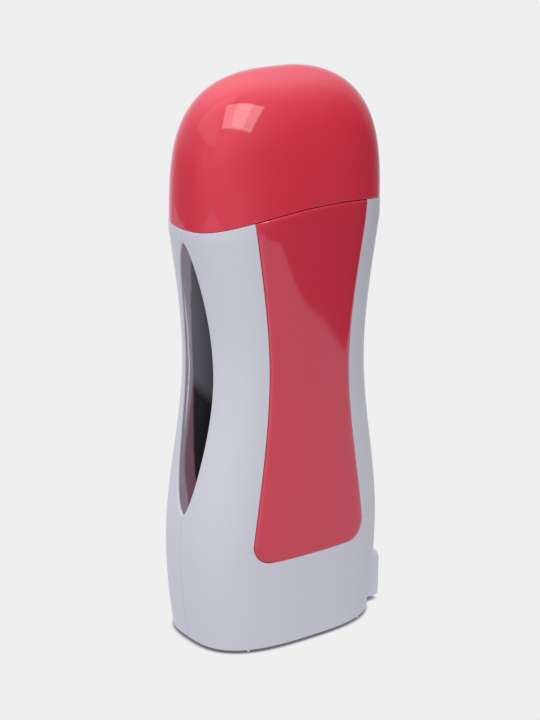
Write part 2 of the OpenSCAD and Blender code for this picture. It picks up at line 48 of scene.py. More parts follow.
# ---------------------------------------------------------------- outline rules
# Lengths are in millimetres here and become metres when a mesh is made.
FOOT, HIP, WAIST, SEAM, TOP = 1.0, 34.2, 95.2, 141.2, 191.184
FIT = 0.9981     # the CAD solids have flat facets: this keeps the smooth outline just inside their box
WALL, CAP_WALL, GAP, SPLIT = 2.4, 2.0, 0.07, 0.05
ARCH_TOP, ARCH_R, ARCH_X = 150.0, 128.0, 5.0
INLAY_Z, INLAY_R, PROUD, POCKET = 31.8, 6.5, 0.35, 1.3
WIN0, WIN1, WIN_HALF, WIN_SINK = 46.1, 138.4, 8.1, 0.6
INLET_X, INLET_Z = 39.2, 10.7
INLET_W, INLET_TOP, INLET_LOW = 22.0, 18.7, 1.3


def ease(t, m0, m1):
    return 3*t*t - 2*t**3 + m0*(t**3 - 2*t*t + t) + m1*(t**3 - t*t)


def along(a, b, t, m0, m1):
    return a + (b - a)*ease(t, m0, m1)


def side(z, b, h, w, s):
    low = along(b, h, (z - FOOT)/(HIP - FOOT), 1.9, 0)/2
    mid = along(h, w, (z - HIP)/(WAIST - HIP), 0, 0)/2
    up = along(w, s, (z - WAIST)/(SEAM - WAIST), 0, 1.4)/2
    return np.where(z < HIP, low, np.where(z < WAIST, mid, up))


def dome(z, off, full):
    t = np.clip((z - SEAM)/(TOP - off - SEAM), 0, 1)
    return np.maximum(1 - t**3.5, 0)**(1/full)


def half_w(z, off=0.0):
    z = np.asarray(z, float)
    return FIT*np.where(z <= SEAM, side(z, 68.3, 74.5, 62.0, 73.1) - off, (36.55 - off)*dome(z, off, 2.6))


def half_d(z, off=0.0):
    z = np.asarray(z, float)
    return FIT*np.where(z <= SEAM, side(z, 45.2, 46.7, 43.2, 45.3) - off, (22.65 - off)*dome(z, off, 1.9))


def square(z):
    return 2.88 - 0.39*np.asarray(z, float)/191.2


def radial(c, s, n):
    return (np.abs(c)**n + np.abs(s)**n)**(-1/n)


def surf(phi, z, off=0.0):
    """Point of the casing's outline at scaled polar angle phi and height z."""
    phi, z = np.broadcast_arrays(np.asarray(phi, float), np.asarray(z, float))
    c, s = np.cos(phi), np.sin(phi)
    r = radial(c, s, square(z))
    return np.stack([half_w(z, off)*r*c, half_d(z, off)*r*s, z], -1)


def level(p, off=0.0):
    n = square(p[..., 2])
    return (np.abs(p[..., 0]/half_w(p[..., 2], off))**n + np.abs(p[..., 1]/half_d(p[..., 2], off))**n)**(1/n) - 1


def normal(p, off=0.0):
    """Outward unit normal of the outline, drawn in by off."""
    p = np.asarray(p, float)
    x, y, z = p[..., 0], p[..., 1], p[..., 2]
    n, F, B = square(z), half_w(z, off), half_d(z, off)
    a, b = np.abs(x/F), np.abs(y/B)
    g = np.maximum((a**n + b**n)**(1/n), 1e-9)
    h = 1e-3
    H = TOP - off - SEAM
    t = np.clip((z - SEAM)/H, 0, 1 - 1e-9)
    core = 3.5*t**2.5/(np.maximum(1 - t**3.5, 1e-12)*H)
    low = z <= SEAM
    zl = np.minimum(z, SEAM - h)
    dF = np.where(low, (half_w(zl + h, off) - half_w(zl - h, off))/(2*h)/F, -core/2.6)
    dB = np.where(low, (half_d(zl + h, off) - half_d(zl - h, off))/(2*h)/B, -core/1.9)
    n2, n1 = square(z + 0.05), square(z - 0.05)
    dn = ((a**n2 + b**n2)**(1/n2) - (a**n1 + b**n1)**(1/n1))/0.1
    gx = np.sign(x)*a**(n - 1)/F*g**(1 - n)
    gy = np.sign(y)*b**(n - 1)/B*g**(1 - n)
    gz = -(a**n*dF + b**n*dB)*g**(1 - n) + dn
    v = np.stack([gx, gy, gz], -1)
    return v/np.maximum(np.linalg.norm(v, axis=-1, keepdims=True), 1e-12)


def angle_of(p, off=0.0):
    return np.arctan2(p[..., 1]/half_d(p[..., 2], off), p[..., 0]/half_w(p[..., 2], off))


def x_at(y, z, off=0.0):
    return half_w(z, off)*np.maximum(1 - np.abs(y/half_d(z, off))**square(z), 0)**(1/square(z))


def y_at(x, z, off=0.0):
    return half_d(z, off)*np.maximum(1 - np.abs(x/half_w(z, off))**square(z), 0)**(1/square(z))


def arch(x, d):
    return ARCH_TOP - ARCH_R + np.sqrt((ARCH_R + d)**2 - (np.asarray(x) - ARCH_X)**2)


def arch_normal(x, z):
    v = np.stack([np.asarray(x) - ARCH_X, 0*np.asarray(x), np.asarray(z) - (ARCH_TOP - ARCH_R)], -1)
    return v/np.linalg.norm(v, axis=-1, keepdims=True)


def on_arch(phi, d, off=0.0):
    """Points where the arched joint line meets the outline."""
    phi = np.asarray(phi, float)
    z = np.full(phi.shape, 146.0)
    for _ in range(30):
        z = 0.5*z + 0.5*arch(surf(phi, z, off)[..., 0], d)
    return surf(phi, z, off)


def inlay_half(z):
    z = np.asarray(z, float)
    return np.where(z < WAIST, along(16, 23.1, (WAIST - z)/(WAIST - INLAY_Z), 0, 0.9),
                    along(16, 21.9, (z - WAIST)/(ARCH_TOP - 4 - WAIST), 0, 1.3))


def win_w(z):
    return WIN_HALF*np.maximum(0, 1 - ((2*z - WIN0 - WIN1)/(WIN1 - WIN0))**2)**0.58


def window_outline(m, g=0.0):
    """Half outline of the window from its lower to its upper tip, grown by g: (half width, height)."""
    t = np.linspace(0, math.pi, m)
    z = (WIN0 + WIN1)/2 - (WIN1 - WIN0)/2*np.cos(t)
    w = win_w(z)
    w[0] = w[-1] = 0
    return w + g*np.sin(t), z - g*np.cos(t)


def hit(p, d, off, reach=9.0):
    """Where the ray from p along d first goes inside the outline drawn in by off."""
    ts = np.linspace(0, reach, 121)
    v = level(p[None] + ts[:, None, None]*d[None], off)
    k = np.argmax(v <= 0, axis=0)
    k = np.where(np.any(v <= 0, axis=0), np.maximum(k, 1), len(ts) - 1)
    a, b = ts[k - 1], ts[k]
    for _ in range(40):
        m = (a + b)/2
        out = level(p + m[:, None]*d, off) > 0
        a, b = np.where(out, m, a), np.where(out, b, m)
    return p + b[:, None]*d


# arc length round a middling section, used as a flat map of the surface
_PH = np.linspace(0, 2*math.pi, 5761)
_c, _s = np.cos(_PH), np.sin(_PH)
_r = radial(_c, _s, 2.7)
_q = np.stack([34.5*_r*_c, 22.3*_r*_s], -1)
_ARC = np.concatenate([[0], np.cumsum(np.linalg.norm(np.diff(_q, axis=0), axis=1))])
_LEN = _ARC[-1]


def to_u(phi):
    k = np.floor(np.asarray(phi)/(2*math.pi))
    return np.interp(phi - k*2*math.pi, _PH, _ARC) + k*_LEN


def to_phi(u):
    k = np.floor(np.asarray(u)/_LEN)
    return np.interp(u - k*_LEN, _ARC, _PH) + k*2*math.pi


def flat(p, off, centre):
    """(u, z) of points on the outline, with the angle unwrapped around centre."""
    a = angle_of(p, off)
    a = a + 2*math.pi*np.round((centre - a)/(2*math.pi))
    return np.stack([to_u(a), p[..., 2]], -1)


# ---------------------------------------------------------------- mesh making
class Skin:
    """Vertices, faces and one normal for each face corner."""

    def __init__(self):
        self.v, self.f, self.n = [], [], []

    def add(self, pts):
        i = len(self.v)
        self.v.extend(tuple(map(float, p)) for p in pts)
        return np.arange(i, i + len(pts))

    def face(self, idx, nrm):
        self.f.append(tuple(int(i) for i in idx))
        self.n.extend(tuple(map(float, q)) for q in nrm)

    def strip(self, a, b, na, nb, closed=True):
        """Quads between boundary a and the boundary b that lies outward or below it."""
        m = len(a)
        for i in range(m if closed else m - 1):
            j = (i + 1) % m
            self.face((a[j], a[i], b[i], b[j]), (na[j], na[i], nb[i], nb[j]))

    def tris(self, idx, tri, nrm, flip=False):
        for t in tri:
            t = t[::-1] if flip else t
            self.face([idx[k] for k in t], [nrm[k] for k in t])

    def mirrored(self):
        """The same skin with front and rear exchanged."""
        o = Skin()
        o.v = [(x, -y, z) for x, y, z in self.v]
        k = 0
        for f in self.f:
            n = self.n[k:k + len(f)]
            k += len(f)
            o.f.append(f[::-1])
            o.n.extend((x, -y, z) for x, y, z in reversed(n))
        return o


def where_in(loop, q):
    """Whether each point of q lies inside the closed boundary, and how far it is from it."""
    inside = np.zeros(len(q), bool)
    near = np.full(len(q), 1e9)
    for (ax, ay), (bx, by) in zip(loop, np.roll(loop, -1, axis=0)):
        cross = (ay > q[:, 1]) != (by > q[:, 1])
        xi = (bx - ax)*(q[:, 1] - ay)/(by - ay if by != ay else 1e-12) + ax
        inside ^= cross & (q[:, 0] < xi)
        d = np.array([bx - ax, by - ay])
        t = np.clip(((q[:, 0] - ax)*d[0] + (q[:, 1] - ay)*d[1])/max(float(d @ d), 1e-12), 0, 1)
        near = np.minimum(near, np.hypot(q[:, 0] - ax - t*d[0], q[:, 1] - ay - t*d[1]))
    return inside, near


def triangulate(loop, step, keep=0.62):
    """Triangles over a closed boundary in the flat map. Returns the inner points and the triangles."""
    loop = np.asarray(loop, float)
    lo, hi = loop.min(0), loop.max(0)
    rows = []
    dz = step*math.sqrt(3)/2
    for k, z in enumerate(np.arange(lo[1] + dz/2, hi[1], dz)):
        us = np.arange(lo[0] + (k % 2)*step/2, hi[0], step)
        rows.append(np.stack([us, np.full(len(us), z)], -1))
    q = np.concatenate(rows)
    inside, near = where_in(loop, q)
    q = q[inside & (near > keep*step)]
    pts = np.concatenate([loop, q])
    n = len(loop)
    out = delaunay_2d_cdt([Vector(p) for p in pts], [(i, (i + 1) % n) for i in range(n)], [], 0, 1e-9, True)
    verts, faces, orig = out[0], out[2], out[3]
    if len(verts) != len(pts) or any(len(o) != 1 for o in orig):
        raise RuntimeError("a boundary crosses itself: %d points in, %d out" % (len(pts), len(verts)))
    back = [o[0] for o in orig]
    tri = [[back[i] for i in f] for f in faces]
    P = pts[np.array(tri)]
    d1, d2 = P[:, 1] - P[:, 0], P[:, 2] - P[:, 0]
    if (d1[:, 0]*d2[:, 1] - d1[:, 1]*d2[:, 0]).sum() < 0:
        tri = [t[::-1] for t in tri]
    owner = {}
    for k, t in enumerate(tri):
        for i in range(3):
            owner[t[i], t[(i + 1) % 3]] = k
    # the boundary runs with its inside on the left, so the faces there are the ones to keep
    todo = [owner[i, (i + 1) % n] for i in range(n)]
    kept = set(todo)
    while todo:
        t = tri[todo.pop()]
        for i in range(3):
            p, r = t[i], t[(i + 1) % 3]
            if p < n and r == (p + 1) % n:
                continue
            k = owner.get((r, p))
            if k is not None and k not in kept:
                kept.add(k)
                todo.append(k)
    return q, [tri[k] for k in sorted(kept)]


def thin(poly, step, first=0.0, last=0.0):
    """Points spaced about step apart along a fine polyline, with first and last left clear at its ends."""
    poly = np.asarray(poly, float)
    s = np.concatenate([[0], np.cumsum(np.linalg.norm(np.diff(poly, axis=0), axis=1))])
    m = max(1, round((s[-1] - first - last)/step))
    want = np.linspace(first, s[-1] - last, m + 1)
    return np.stack([np.interp(want, s, poly[:, k]) for k in range(poly.shape[1])], -1)


def bevel_columns(E, off, sink, radius, steps=4, deep=None):
    """For a boundary E that runs with the skin on its left: the skin's own edge, the points round the edge
    and their normals. sink is the direction of the wall below, radius the rounding on the edge to the next point,
    deep how far the rounding goes down."""
    E = np.asarray(E, float)
    N = normal(E, off)
    nxt = np.roll(E, -1, axis=0) - E
    prv = E - np.roll(E, 1, axis=0)
    r2 = np.asarray(radius, float)
    r1 = np.roll(r2, 1)

    def outward(e):
        m = np.cross(e, N)
        return m/np.maximum(np.linalg.norm(m, axis=1, keepdims=True), 1e-12)

    m1, m2 = outward(prv), outward(nxt)
    c = np.clip((m1*m2).sum(1), -0.95, 1)
    V = np.empty_like(E)
    for i in range(len(E)):
        if c[i] > 0.985:
            m = m1[i] + m2[i]
            V[i] = m/np.linalg.norm(m)*(r1[i] + r2[i])/2
        else:
            d = 1 - c[i]**2
            V[i] = (r1[i] - c[i]*r2[i])/d*m1[i] + (r2[i] - c[i]*r1[i])/d*m2[i]
    edge = E - V
    ph = angle_of(edge, off)
    edge = surf(ph, edge[:, 2], off)
    rw = (np.maximum(r1, r2) if deep is None else np.asarray(deep, float))[:, None]
    W = E + sink*rw
    T = np.roll(E, -1, axis=0) - np.roll(E, 1, axis=0)
    T /= np.linalg.norm(T, axis=1, keepdims=True)
    pts, nrm = [edge], [normal(edge, off)]
    for k in range(1, steps + 1):
        t = k/steps
        pts.append((1 - t)**2*edge + 2*t*(1 - t)*E + t*t*W)
        g = (1 - t)*(E - edge) + t*(W - E)
        n = np.cross(g, T)
        n /= np.maximum(np.linalg.norm(n, axis=1, keepdims=True), 1e-12)
        nrm.append(n)
    return pts, nrm


def patch(skin, edge_idx, edge_pts, off, centre, step, flip=False):
    """Fills a closed boundary with points of the outline drawn in by off."""
    uv = flat(edge_pts, off, centre)
    q, tri = triangulate(uv, step)
    inner = surf(to_phi(q[:, 0]), q[:, 1], off)
    idx = np.concatenate([edge_idx, skin.add(inner)])
    nrm = normal(np.concatenate([edge_pts, inner]), off)
    skin.tris(idx, tri, -nrm if flip else nrm, flip)


def unit(v):
    return v/np.maximum(np.linalg.norm(v, axis=-1, keepdims=True), 1e-12)


# ---- pieces that follow the casing's outline ---------------------------------
def front_shell_skin():
    s = Skin()
    segs = []  # (points, kind, radius): each runs up to, not including, the next one's first point

    def X(y, z):
        return x_at(np.asarray(y), np.asarray(z))

    def part(z0, z1, sgn, first=0.0, last=0.0, step=1.6):
        z = np.linspace(z0, z1, 400)
        p = np.stack([sgn*X(-SPLIT, z), np.full(400, -SPLIT), z], -1)
        return thin(p, step, first, last)

    # lower edge, from the window side to the inlet side
    ph = np.linspace(-math.pi + SPLIT/22, -SPLIT/22, 3000)
    segs.append((thin(surf(ph, np.full(3000, FOOT)), 1.25)[:-1], "bottom", 0.3))
    # parting line on the inlet side, with the inlet's cut-out
    up = part(FOOT, INLET_Z - 5.75, 1, 0.0, 0.0, 1.2)[:-1]
    segs.append((np.concatenate([up[:1], up[2:]]), "parting", 0.14))
    y0, h, r = 9.95, 5.75, 1.6
    a = np.radians(np.linspace(270, 180, 9))
    c1 = np.stack([-y0 + r + r*np.cos(a), INLET_Z - h + r + r*np.sin(a)], -1)
    a = np.radians(np.linspace(180, 90, 9))
    c2 = np.stack([-y0 + r + r*np.cos(a), INLET_Z + h - r + r*np.sin(a)], -1)
    yz = np.concatenate([[[-SPLIT, INLET_Z - h]], thin([[-1.2, INLET_Z - h], c1[0]], 1.2), c1[1:],
                         thin([c1[-1], c2[0]], 1.2)[1:], c2[1:], thin([c2[-1], [-1.2, INLET_Z + h]], 1.2)[1:]])
    segs.append((np.stack([X(yz[:, 0], yz[:, 1]), yz[:, 0], yz[:, 1]], -1), "bite", 0.1))
    right_top = on_arch(np.array([-SPLIT/22]), -GAP)[0]
    p = part(INLET_Z + h, right_top[2], 1, 0.0, 0.0)
    segs.append((np.concatenate([p[:1], p[1:-1]]), "parting", 0.14))
    # arched joint line, then down and round the pocket, then the arch again
    g = 0.06
    zt = 148.0
    for _ in range(60):
        zt = float(arch(inlay_half(zt) + g, -GAP))
    zl = 148.0
    for _ in range(60):
        zl = float(arch(-inlay_half(zl) - g, -GAP))
    AR = np.array([float(inlay_half(zt)) + g, 0, zt])
    AL = np.array([-float(inlay_half(zl)) - g, 0, zl])
    AR[1], AL[1] = -y_at(AR[0], AR[2]), -y_at(AL[0], AL[2])
    fR, fL = angle_of(AR), angle_of(AL)
    p = thin(on_arch(np.linspace(-SPLIT/22, fR, 900), -GAP), 1.1)
    segs.append((np.concatenate([p[:1], p[1:-1]]), "arch", 0.22))
    r = INLAY_R + g
    z0 = INLAY_Z - g
    xc = float(inlay_half(z0 + r)) + g - r
    zz = np.linspace(zt, z0 + r, 500)
    down = np.stack([inlay_half(zz) + g, zz], -1)
    a = np.radians(np.linspace(0, -90, 40))
    cr = np.stack([xc + r*np.cos(a), z0 + r + r*np.sin(a)], -1)
    cl = cr[::-1]*np.array([-1, 1])
    zz = np.linspace(z0 + r, zl, 500)
    upl = np.stack([-inlay_half(zz) - g, zz], -1)
    xz = np.concatenate([down, cr[1:], cl, upl[1:]])
    xz = thin(xz, 1.15)
    pk = np.stack([xz[:, 0], -y_at(xz[:, 0], xz[:, 1]), xz[:, 1]], -1)
    pk[0], pk[-1] = AR, AL
    segs.append((pk[:-1], "pocket", 0.2))
    left_top = on_arch(np.array([-math.pi + SPLIT/22]), -GAP)[0]
    p = thin(on_arch(np.linspace(fL, -math.pi + SPLIT/22, 900), -GAP), 1.1)
    segs.append((p[:-1], "arch", 0.22))
    # window side, going down
    p = part(left_top[2], WIN1, -1, 0.0, 0.0, 1.2)
    segs.append((p[:-2], "parting", 0.14))
    w, z = window_outline(131)
    w, z = w[::-1], z[::-1]
    keep = np.ones(131, bool)
    keep[1] = keep[-2] = False
    w, z = np.maximum(w[keep], SPLIT), z[keep]
    wp = np.stack([-X(w, z), -w, z], -1)
    segs.append((wp[:-1], "window", 0.75))
    p = part(WIN0, FOOT, -1, 0.0, 0.0, 1.2)
    segs.append((np.concatenate([p[:1], p[2:-1]]), "parting", 0.14))

    E = np.concatenate([q for q, _, _ in segs])
    kind = np.concatenate([[k]*len(q) for q, k, _ in segs])
    radius = np.concatenate([[r]*len(q) for q, _, r in segs])
    N = normal(E)
    sink = -N.copy()
    m = kind == "bottom"
    sink[m, 2] = 0
    sink[kind == "window"] = (1, 0, 0)
    sink[kind == "bite"] = (-1, 0, 0)
    sink[kind == "pocket"] = (0, 1, 0)
    m = kind == "arch"
    na = arch_normal(E[m, 0], E[m, 2])
    sink[m] = sink[m] - (sink[m]*na).sum(1, keepdims=True)*na
    sink = unit(sink)
    iR = int(np.argmax(kind == "pocket"))
    iL = iR + len(pk) - 1
    sink[iR] = sink[iL] = (0, 1, 0)
    # the corner where the arch meets the parting plane keeps to both
    pts, nrm = bevel_columns(E, 0.0, sink, radius)
    levels = [s.add(p) for p in pts]
    base = pts[-1]
    pocket = np.zeros(len(E), bool)
    pocket[iR + 1:iL] = True
    floor_pts = hit(E, sink, POCKET)
    mid = s.add(floor_pts)
    inner_pts = hit(E, sink, WALL)
    rest = np.where(~pocket)[0]
    inner = np.full(len(E), -1)
    inner[rest] = s.add(inner_pts[rest])
    for k in range(len(levels) - 1):
        s.strip(levels[k], levels[k + 1], nrm[k], nrm[k + 1])
    s.strip(levels[-1], mid, nrm[-1], nrm[-1])
    seq = np.concatenate([np.arange(iL, len(E)), np.arange(0, iR + 1)])
    s.strip(mid[seq], inner[seq], nrm[-1][seq], nrm[-1][seq], closed=False)
    # outer skin
    patch(s, levels[0], pts[0], 0.0, -math.pi/2, 1.5)
    # pocket floor, with its own top edge on the arch
    top = thin(on_arch(np.linspace(fR, fL, 900), -GAP), 1.3)
    xs = np.linspace(AR[0], AL[0], len(top))[1:-1]
    zs = arch(xs, -GAP)
    tf = np.stack([xs, -y_at(xs, zs, POCKET), zs], -1)
    ti = np.stack([xs, -y_at(xs, zs, WALL), zs], -1)
    tfi, tii = s.add(tf), s.add(ti)
    back = np.arange(iL, iR - 1, -1)  # up the left side is reversed: the floor lies on the other side
    order = np.concatenate([back[::1]])
    floor_idx = np.concatenate([mid[order], tfi])
    floor_xyz = np.concatenate([floor_pts[order], tf])
    # order runs left top -> left side down -> bottom -> right side up; then the arch from right to left
    patch(s, floor_idx, floor_xyz, POCKET, -math.pi/2, 2.4)
    a = np.concatenate([[mid[iR]], tfi, [mid[iL]]])
    b = np.concatenate([[inner[iR]], tii, [inner[iL]]])
    na = arch_normal(np.concatenate([[AR[0]], xs, [AL[0]]]), np.concatenate([[AR[2]], zs, [AL[2]]]))
    s.strip(a, b, na, na, closed=False)
    # inner skin
    loop = np.concatenate([np.arange(0, iR + 1)])
    idx = np.concatenate([inner[loop], tii, inner[iL:]])
    xyz = np.concatenate([inner_pts[loop], ti, inner_pts[iL:]])
    patch(s, idx, xyz, WALL, -math.pi/2, 3.2, flip=True)
    return s


def front_inlay_skin():
    s = Skin()
    off = -PROUD
    zt = zl = 148.0
    for _ in range(60):
        zt = float(arch(inlay_half(zt), -GAP - 0.08))
        zl = float(arch(-inlay_half(zl), -GAP - 0.08))
    r, z0 = INLAY_R, INLAY_Z
    xc = float(inlay_half(z0 + r)) - r
    a = np.radians(np.linspace(0, -90, 40))
    cr = np.stack([xc + r*np.cos(a), z0 + r + r*np.sin(a)], -1)[::-1]   # bottom to the side
    cl = (cr*np.array([-1, 1]))[::-1]
    zz = np.linspace(z0 + r, zt, 600)
    right = np.stack([inlay_half(zz), zz], -1)
    zz = np.linspace(zl, z0 + r, 600)
    left = np.stack([-inlay_half(zz), zz], -1)
    low = thin(np.concatenate([left, cl[1:], cr, right[1:]]), 1.05)
    low = np.concatenate([low[:1], low[4:-4], low[-1:]])   # room for the rounding at the corners
    xs = np.linspace(right[-1, 0], left[0, 0], 42)
    top = np.stack([xs, arch(xs, -GAP - 0.08)], -1)
    top = np.concatenate([top[:1], top[4:-4], top[-1:]])
    xz = np.concatenate([low[:-1], top[:-1]])
    E = np.stack([xz[:, 0], -y_at(xz[:, 0], xz[:, 1], off), xz[:, 1]], -1)
    radius = np.concatenate([np.full(len(low) - 1, 2.6), np.full(len(top) - 1, 2.2)])
    # the border rolls deepest along the window side
    deep = np.concatenate([0.62 + 0.53*np.clip((-10 - low[:-1, 0])/8, 0, 1), np.full(len(top) - 1, 0.8)])
    sink = np.tile([0.0, 1.0, 0.0], (len(E), 1))
    pts, nrm = bevel_columns(E, off, sink, radius, 8, deep)
    lv = [s.add(p) for p in pts]
    back = hit(E, sink, POCKET - 0.08)
    bi = s.add(back)
    for k in range(len(lv) - 1):
        s.strip(lv[k], lv[k + 1], nrm[k], nrm[k + 1])
    s.strip(lv[-1], bi, nrm[-1], nrm[-1])
    patch(s, lv[0], pts[0], off, -math.pi/2, 1.4)
    patch(s, bi, back, POCKET - 0.08, -math.pi/2, 3.0, flip=True)
    return s


def window_skin():
    s = Skin()

    def ring(g, off):
        w, z = window_outline(111, g)
        w, z = np.delete(w, [1, 109]), np.delete(z, [1, 109])
        y = np.concatenate([-w, w[-2:0:-1]])
        zz = np.concatenate([z, z[-2:0:-1]])
        return np.stack([-x_at(y, zz, off), y, zz], -1)

    E = ring(-0.12, WIN_SINK)
    sink = np.tile([1.0, 0.0, 0.0], (len(E), 1))
    pts, nrm = bevel_columns(E, WIN_SINK, sink, np.full(len(E), 0.16), 3)
    lv = [s.add(p) for p in pts]
    for k in range(len(lv) - 1):
        s.strip(lv[k], lv[k + 1], nrm[k], nrm[k + 1])
    g1 = s.add(hit(E, sink, WALL + 0.1))
    p2, p3 = ring(1.8, WALL + 0.1), ring(1.8, 3.3)
    g2, g3 = s.add(p2), s.add(p3)
    s.strip(lv[-1], g1, nrm[-1], nrm[-1])
    n2 = normal(p2, WALL + 0.1)
    s.strip(g1, g2, n2, n2)
    s.strip(g2, g3, nrm[-1], nrm[-1])
    patch(s, lv[0], pts[0], WIN_SINK, math.pi, 1.1)
    patch(s, g3, p3, 3.3, math.pi, 2.0, flip=True)
    return s


def cap_skin():
    s = Skin()
    M = 216
    ph = np.linspace(0, 2*math.pi, M, endpoint=False)

    def sheet(off, ztop, low, step):
        """Rings from the crown down to height low(phi)."""
        f = np.linspace(0, 1, 4000)[1:]
        zz = 158 + (ztop - 158)*(1 - (1 - f)**2.2)
        w = half_w(zz, off)
        d = half_d(zz, off)
        seg = np.hypot(np.diff(np.hypot(w, d)/math.sqrt(2)), np.diff(zz))
        sl = np.concatenate([[0], np.cumsum(seg)])
        m = int(sl[-1]/step)
        want = np.linspace(0, sl[-1]*0.9985, m)
        zs = np.interp(want, sl, zz)[::-1]
        rows = [surf(ph, np.full(M, z), off) for z in zs]
        m = int((158 - 145)/step) + 1
        for k in range(1, m + 1):
            z = 158 + (low - 158)*k/m
            rows.append(surf(ph, z, off))
        return rows

    r = 0.45
    E = on_arch(ph, GAP)
    na = arch_normal(E[:, 0], E[:, 2])
    N = normal(E)
    D = -N - (-N*na).sum(1, keepdims=True)*na
    D = unit(D)
    outer = sheet(0.0, TOP, E[:, 2] + r, 1.3)
    Ei = hit(E, D, CAP_WALL)
    ri = 0.28
    inner = sheet(CAP_WALL, TOP - CAP_WALL, Ei[:, 2] + ri, 1.8)
    rows = list(outer)
    nrms = [normal(p) for p in outer]
    C, W = outer[-1], E + D*r
    T = unit(np.roll(E, -1, axis=0) - np.roll(E, 1, axis=0))
    for k in range(1, 5):
        t = k/4
        rows.append((1 - t)**2*C + 2*t*(1 - t)*E + t*t*W)
        nrms.append(unit(np.cross((1 - t)*(E - C) + t*(W - E), T)))
    Wi, Ci = Ei - D*ri, inner[-1]
    for k in range(0, 4):
        t = k/4
        rows.append((1 - t)**2*Wi + 2*t*(1 - t)*Ei + t*t*Ci)
        nrms.append(unit(np.cross((1 - t)*(Ei - Wi) + t*(Ci - Ei), T)))
    for p in inner[::-1]:
        rows.append(p)
        nrms.append(-normal(p, CAP_WALL))
    idx = [s.add(p) for p in rows]
    for k in range(len(rows) - 1):
        s.strip(idx[k], idx[k + 1], nrms[k], nrms[k + 1])
    top = s.add([(0, 0, TOP)])[0]
    bot = s.add([(0, 0, TOP - CAP_WALL)])[0]
    for i in range(M):
        j = (i + 1) % M
        s.face((top, idx[0][i], idx[0][j]), ((0, 0, 1), nrms[0][i], nrms[0][j]))
        s.face((bot, idx[-1][j], idx[-1][i]), ((0, 0, -1), nrms[-1][j], nrms[-1][i]))
    return s


# ---- pieces made from stacked rings ---------------------------------------------
def rings(loops, start=None, end=None, wrap=False):
    """Joins closed loops of equal length. start and end are centre points that close the first and last loop."""
    s = Skin()
    idx = [s.add(p) for p in loops]
    z = (0, 0, 1)
    pairs = list(zip(idx, idx[1:])) + ([(idx[-1], idx[0])] if wrap else [])
    m = len(idx[0])
    for a, b in pairs:
        for i in range(m):
            j = (i + 1) % m
            s.face((a[j], a[i], b[i], b[j]), (z,)*4)
    if start is not None:
        c = s.add([start])[0]
        for i in range(m):
            s.face((c, idx[0][i], idx[0][(i + 1) % m]), (z,)*3)
    if end is not None:
        c = s.add([end])[0]
        for i in range(m):
            s.face((c, idx[-1][(i + 1) % m], idx[-1][i]), (z,)*3)
    return s


def oval(f, b, n, z, m=160):
    ph = np.linspace(0, 2*math.pi, m, endpoint=False)
    c, t = np.cos(ph), np.sin(ph)
    r = radial(c, t, n)
    return np.stack([f*r*c, b*r*t, np.full(m, z)], -1)


def fillet(a, b, c, steps=4):
    """Points on a smooth corner from a to c that bends at b."""
    t = np.linspace(0, 1, steps + 1)[:, None]
    a, b, c = (np.asarray(q, float) for q in (a, b, c))
    return (1 - t)**2*a + 2*t*(1 - t)*b + t*t*c


def profile(corners):
    """A list of (inset, z[, radius]) corners turned into a profile with rounded corners."""
    out = []
    n = len(corners)
    for i, c in enumerate(corners):
        p = np.array(c[:2], float)
        r = c[2] if len(c) > 2 else 0
        if r and 0 < i < n - 1:
            a = np.array(corners[i - 1][:2], float) - p
            b = np.array(corners[i + 1][:2], float) - p
            ra, rb = min(r, 0.49*np.linalg.norm(a)), min(r, 0.49*np.linalg.norm(b))
            out.extend(fillet(p + a/np.linalg.norm(a)*ra, p, p + b/np.linalg.norm(b)*rb))
        else:
            out.append(p)
    return np.array(out)


def split_long(pr, step):
    """Adds rings along the long straight stretches."""
    out = [pr[0]]
    for a, b in zip(pr, pr[1:]):
        m = max(1, int(np.linalg.norm(b - a)/step))
        for k in range(1, m + 1):
            out.append(a + (b - a)*k/m)
    return out


def collar_skin():
    ph = np.linspace(0, 2*math.pi, 200, endpoint=False)
    o = WALL + 0.15
    loops = []

    def wall(off, z):
        loops.append(surf(ph, np.full(len(ph), z), off))

    def hole(g, z):
        loops.append(oval(26.6 + g, 15.6 + g, 2.6, z, len(ph)))

    for p in fillet((0, 151.3), (0, 151.8), (0.5, 151.8)):
        hole(p[0], p[1])
    hole(2.0, 151.8)
    for p in fillet((4.45, 151.8), (3.95, 151.8), (3.95, 152.3)):
        wall(p[0], p[1])
    for z in (154.0, 155.5):
        wall(3.95, z)
    for p in fillet((3.95, 156.6), (3.95, 157.0), (3.6, 157.0)):
        wall(p[0], p[1])
    for p in fillet((3.1, 157.0), (o, 157.0), (o, 156.4)):
        wall(p[0], p[1])
    for z in np.linspace(155.5, 141.2, 10):
        wall(o, z)
    for p in fillet((o, 140.9), (o, 140.6), (o + 0.3, 140.6)):
        wall(p[0], p[1])
    wall(3.95, 140.6)
    for z in (143.5, 146.5, 149.9):
        wall(3.95, z)
    wall(4.1, 150.0)
    hole(2.0, 150.0)
    hole(0.3, 150.0)
    hole(0.0, 150.3)
    return rings(loops, wrap=True)


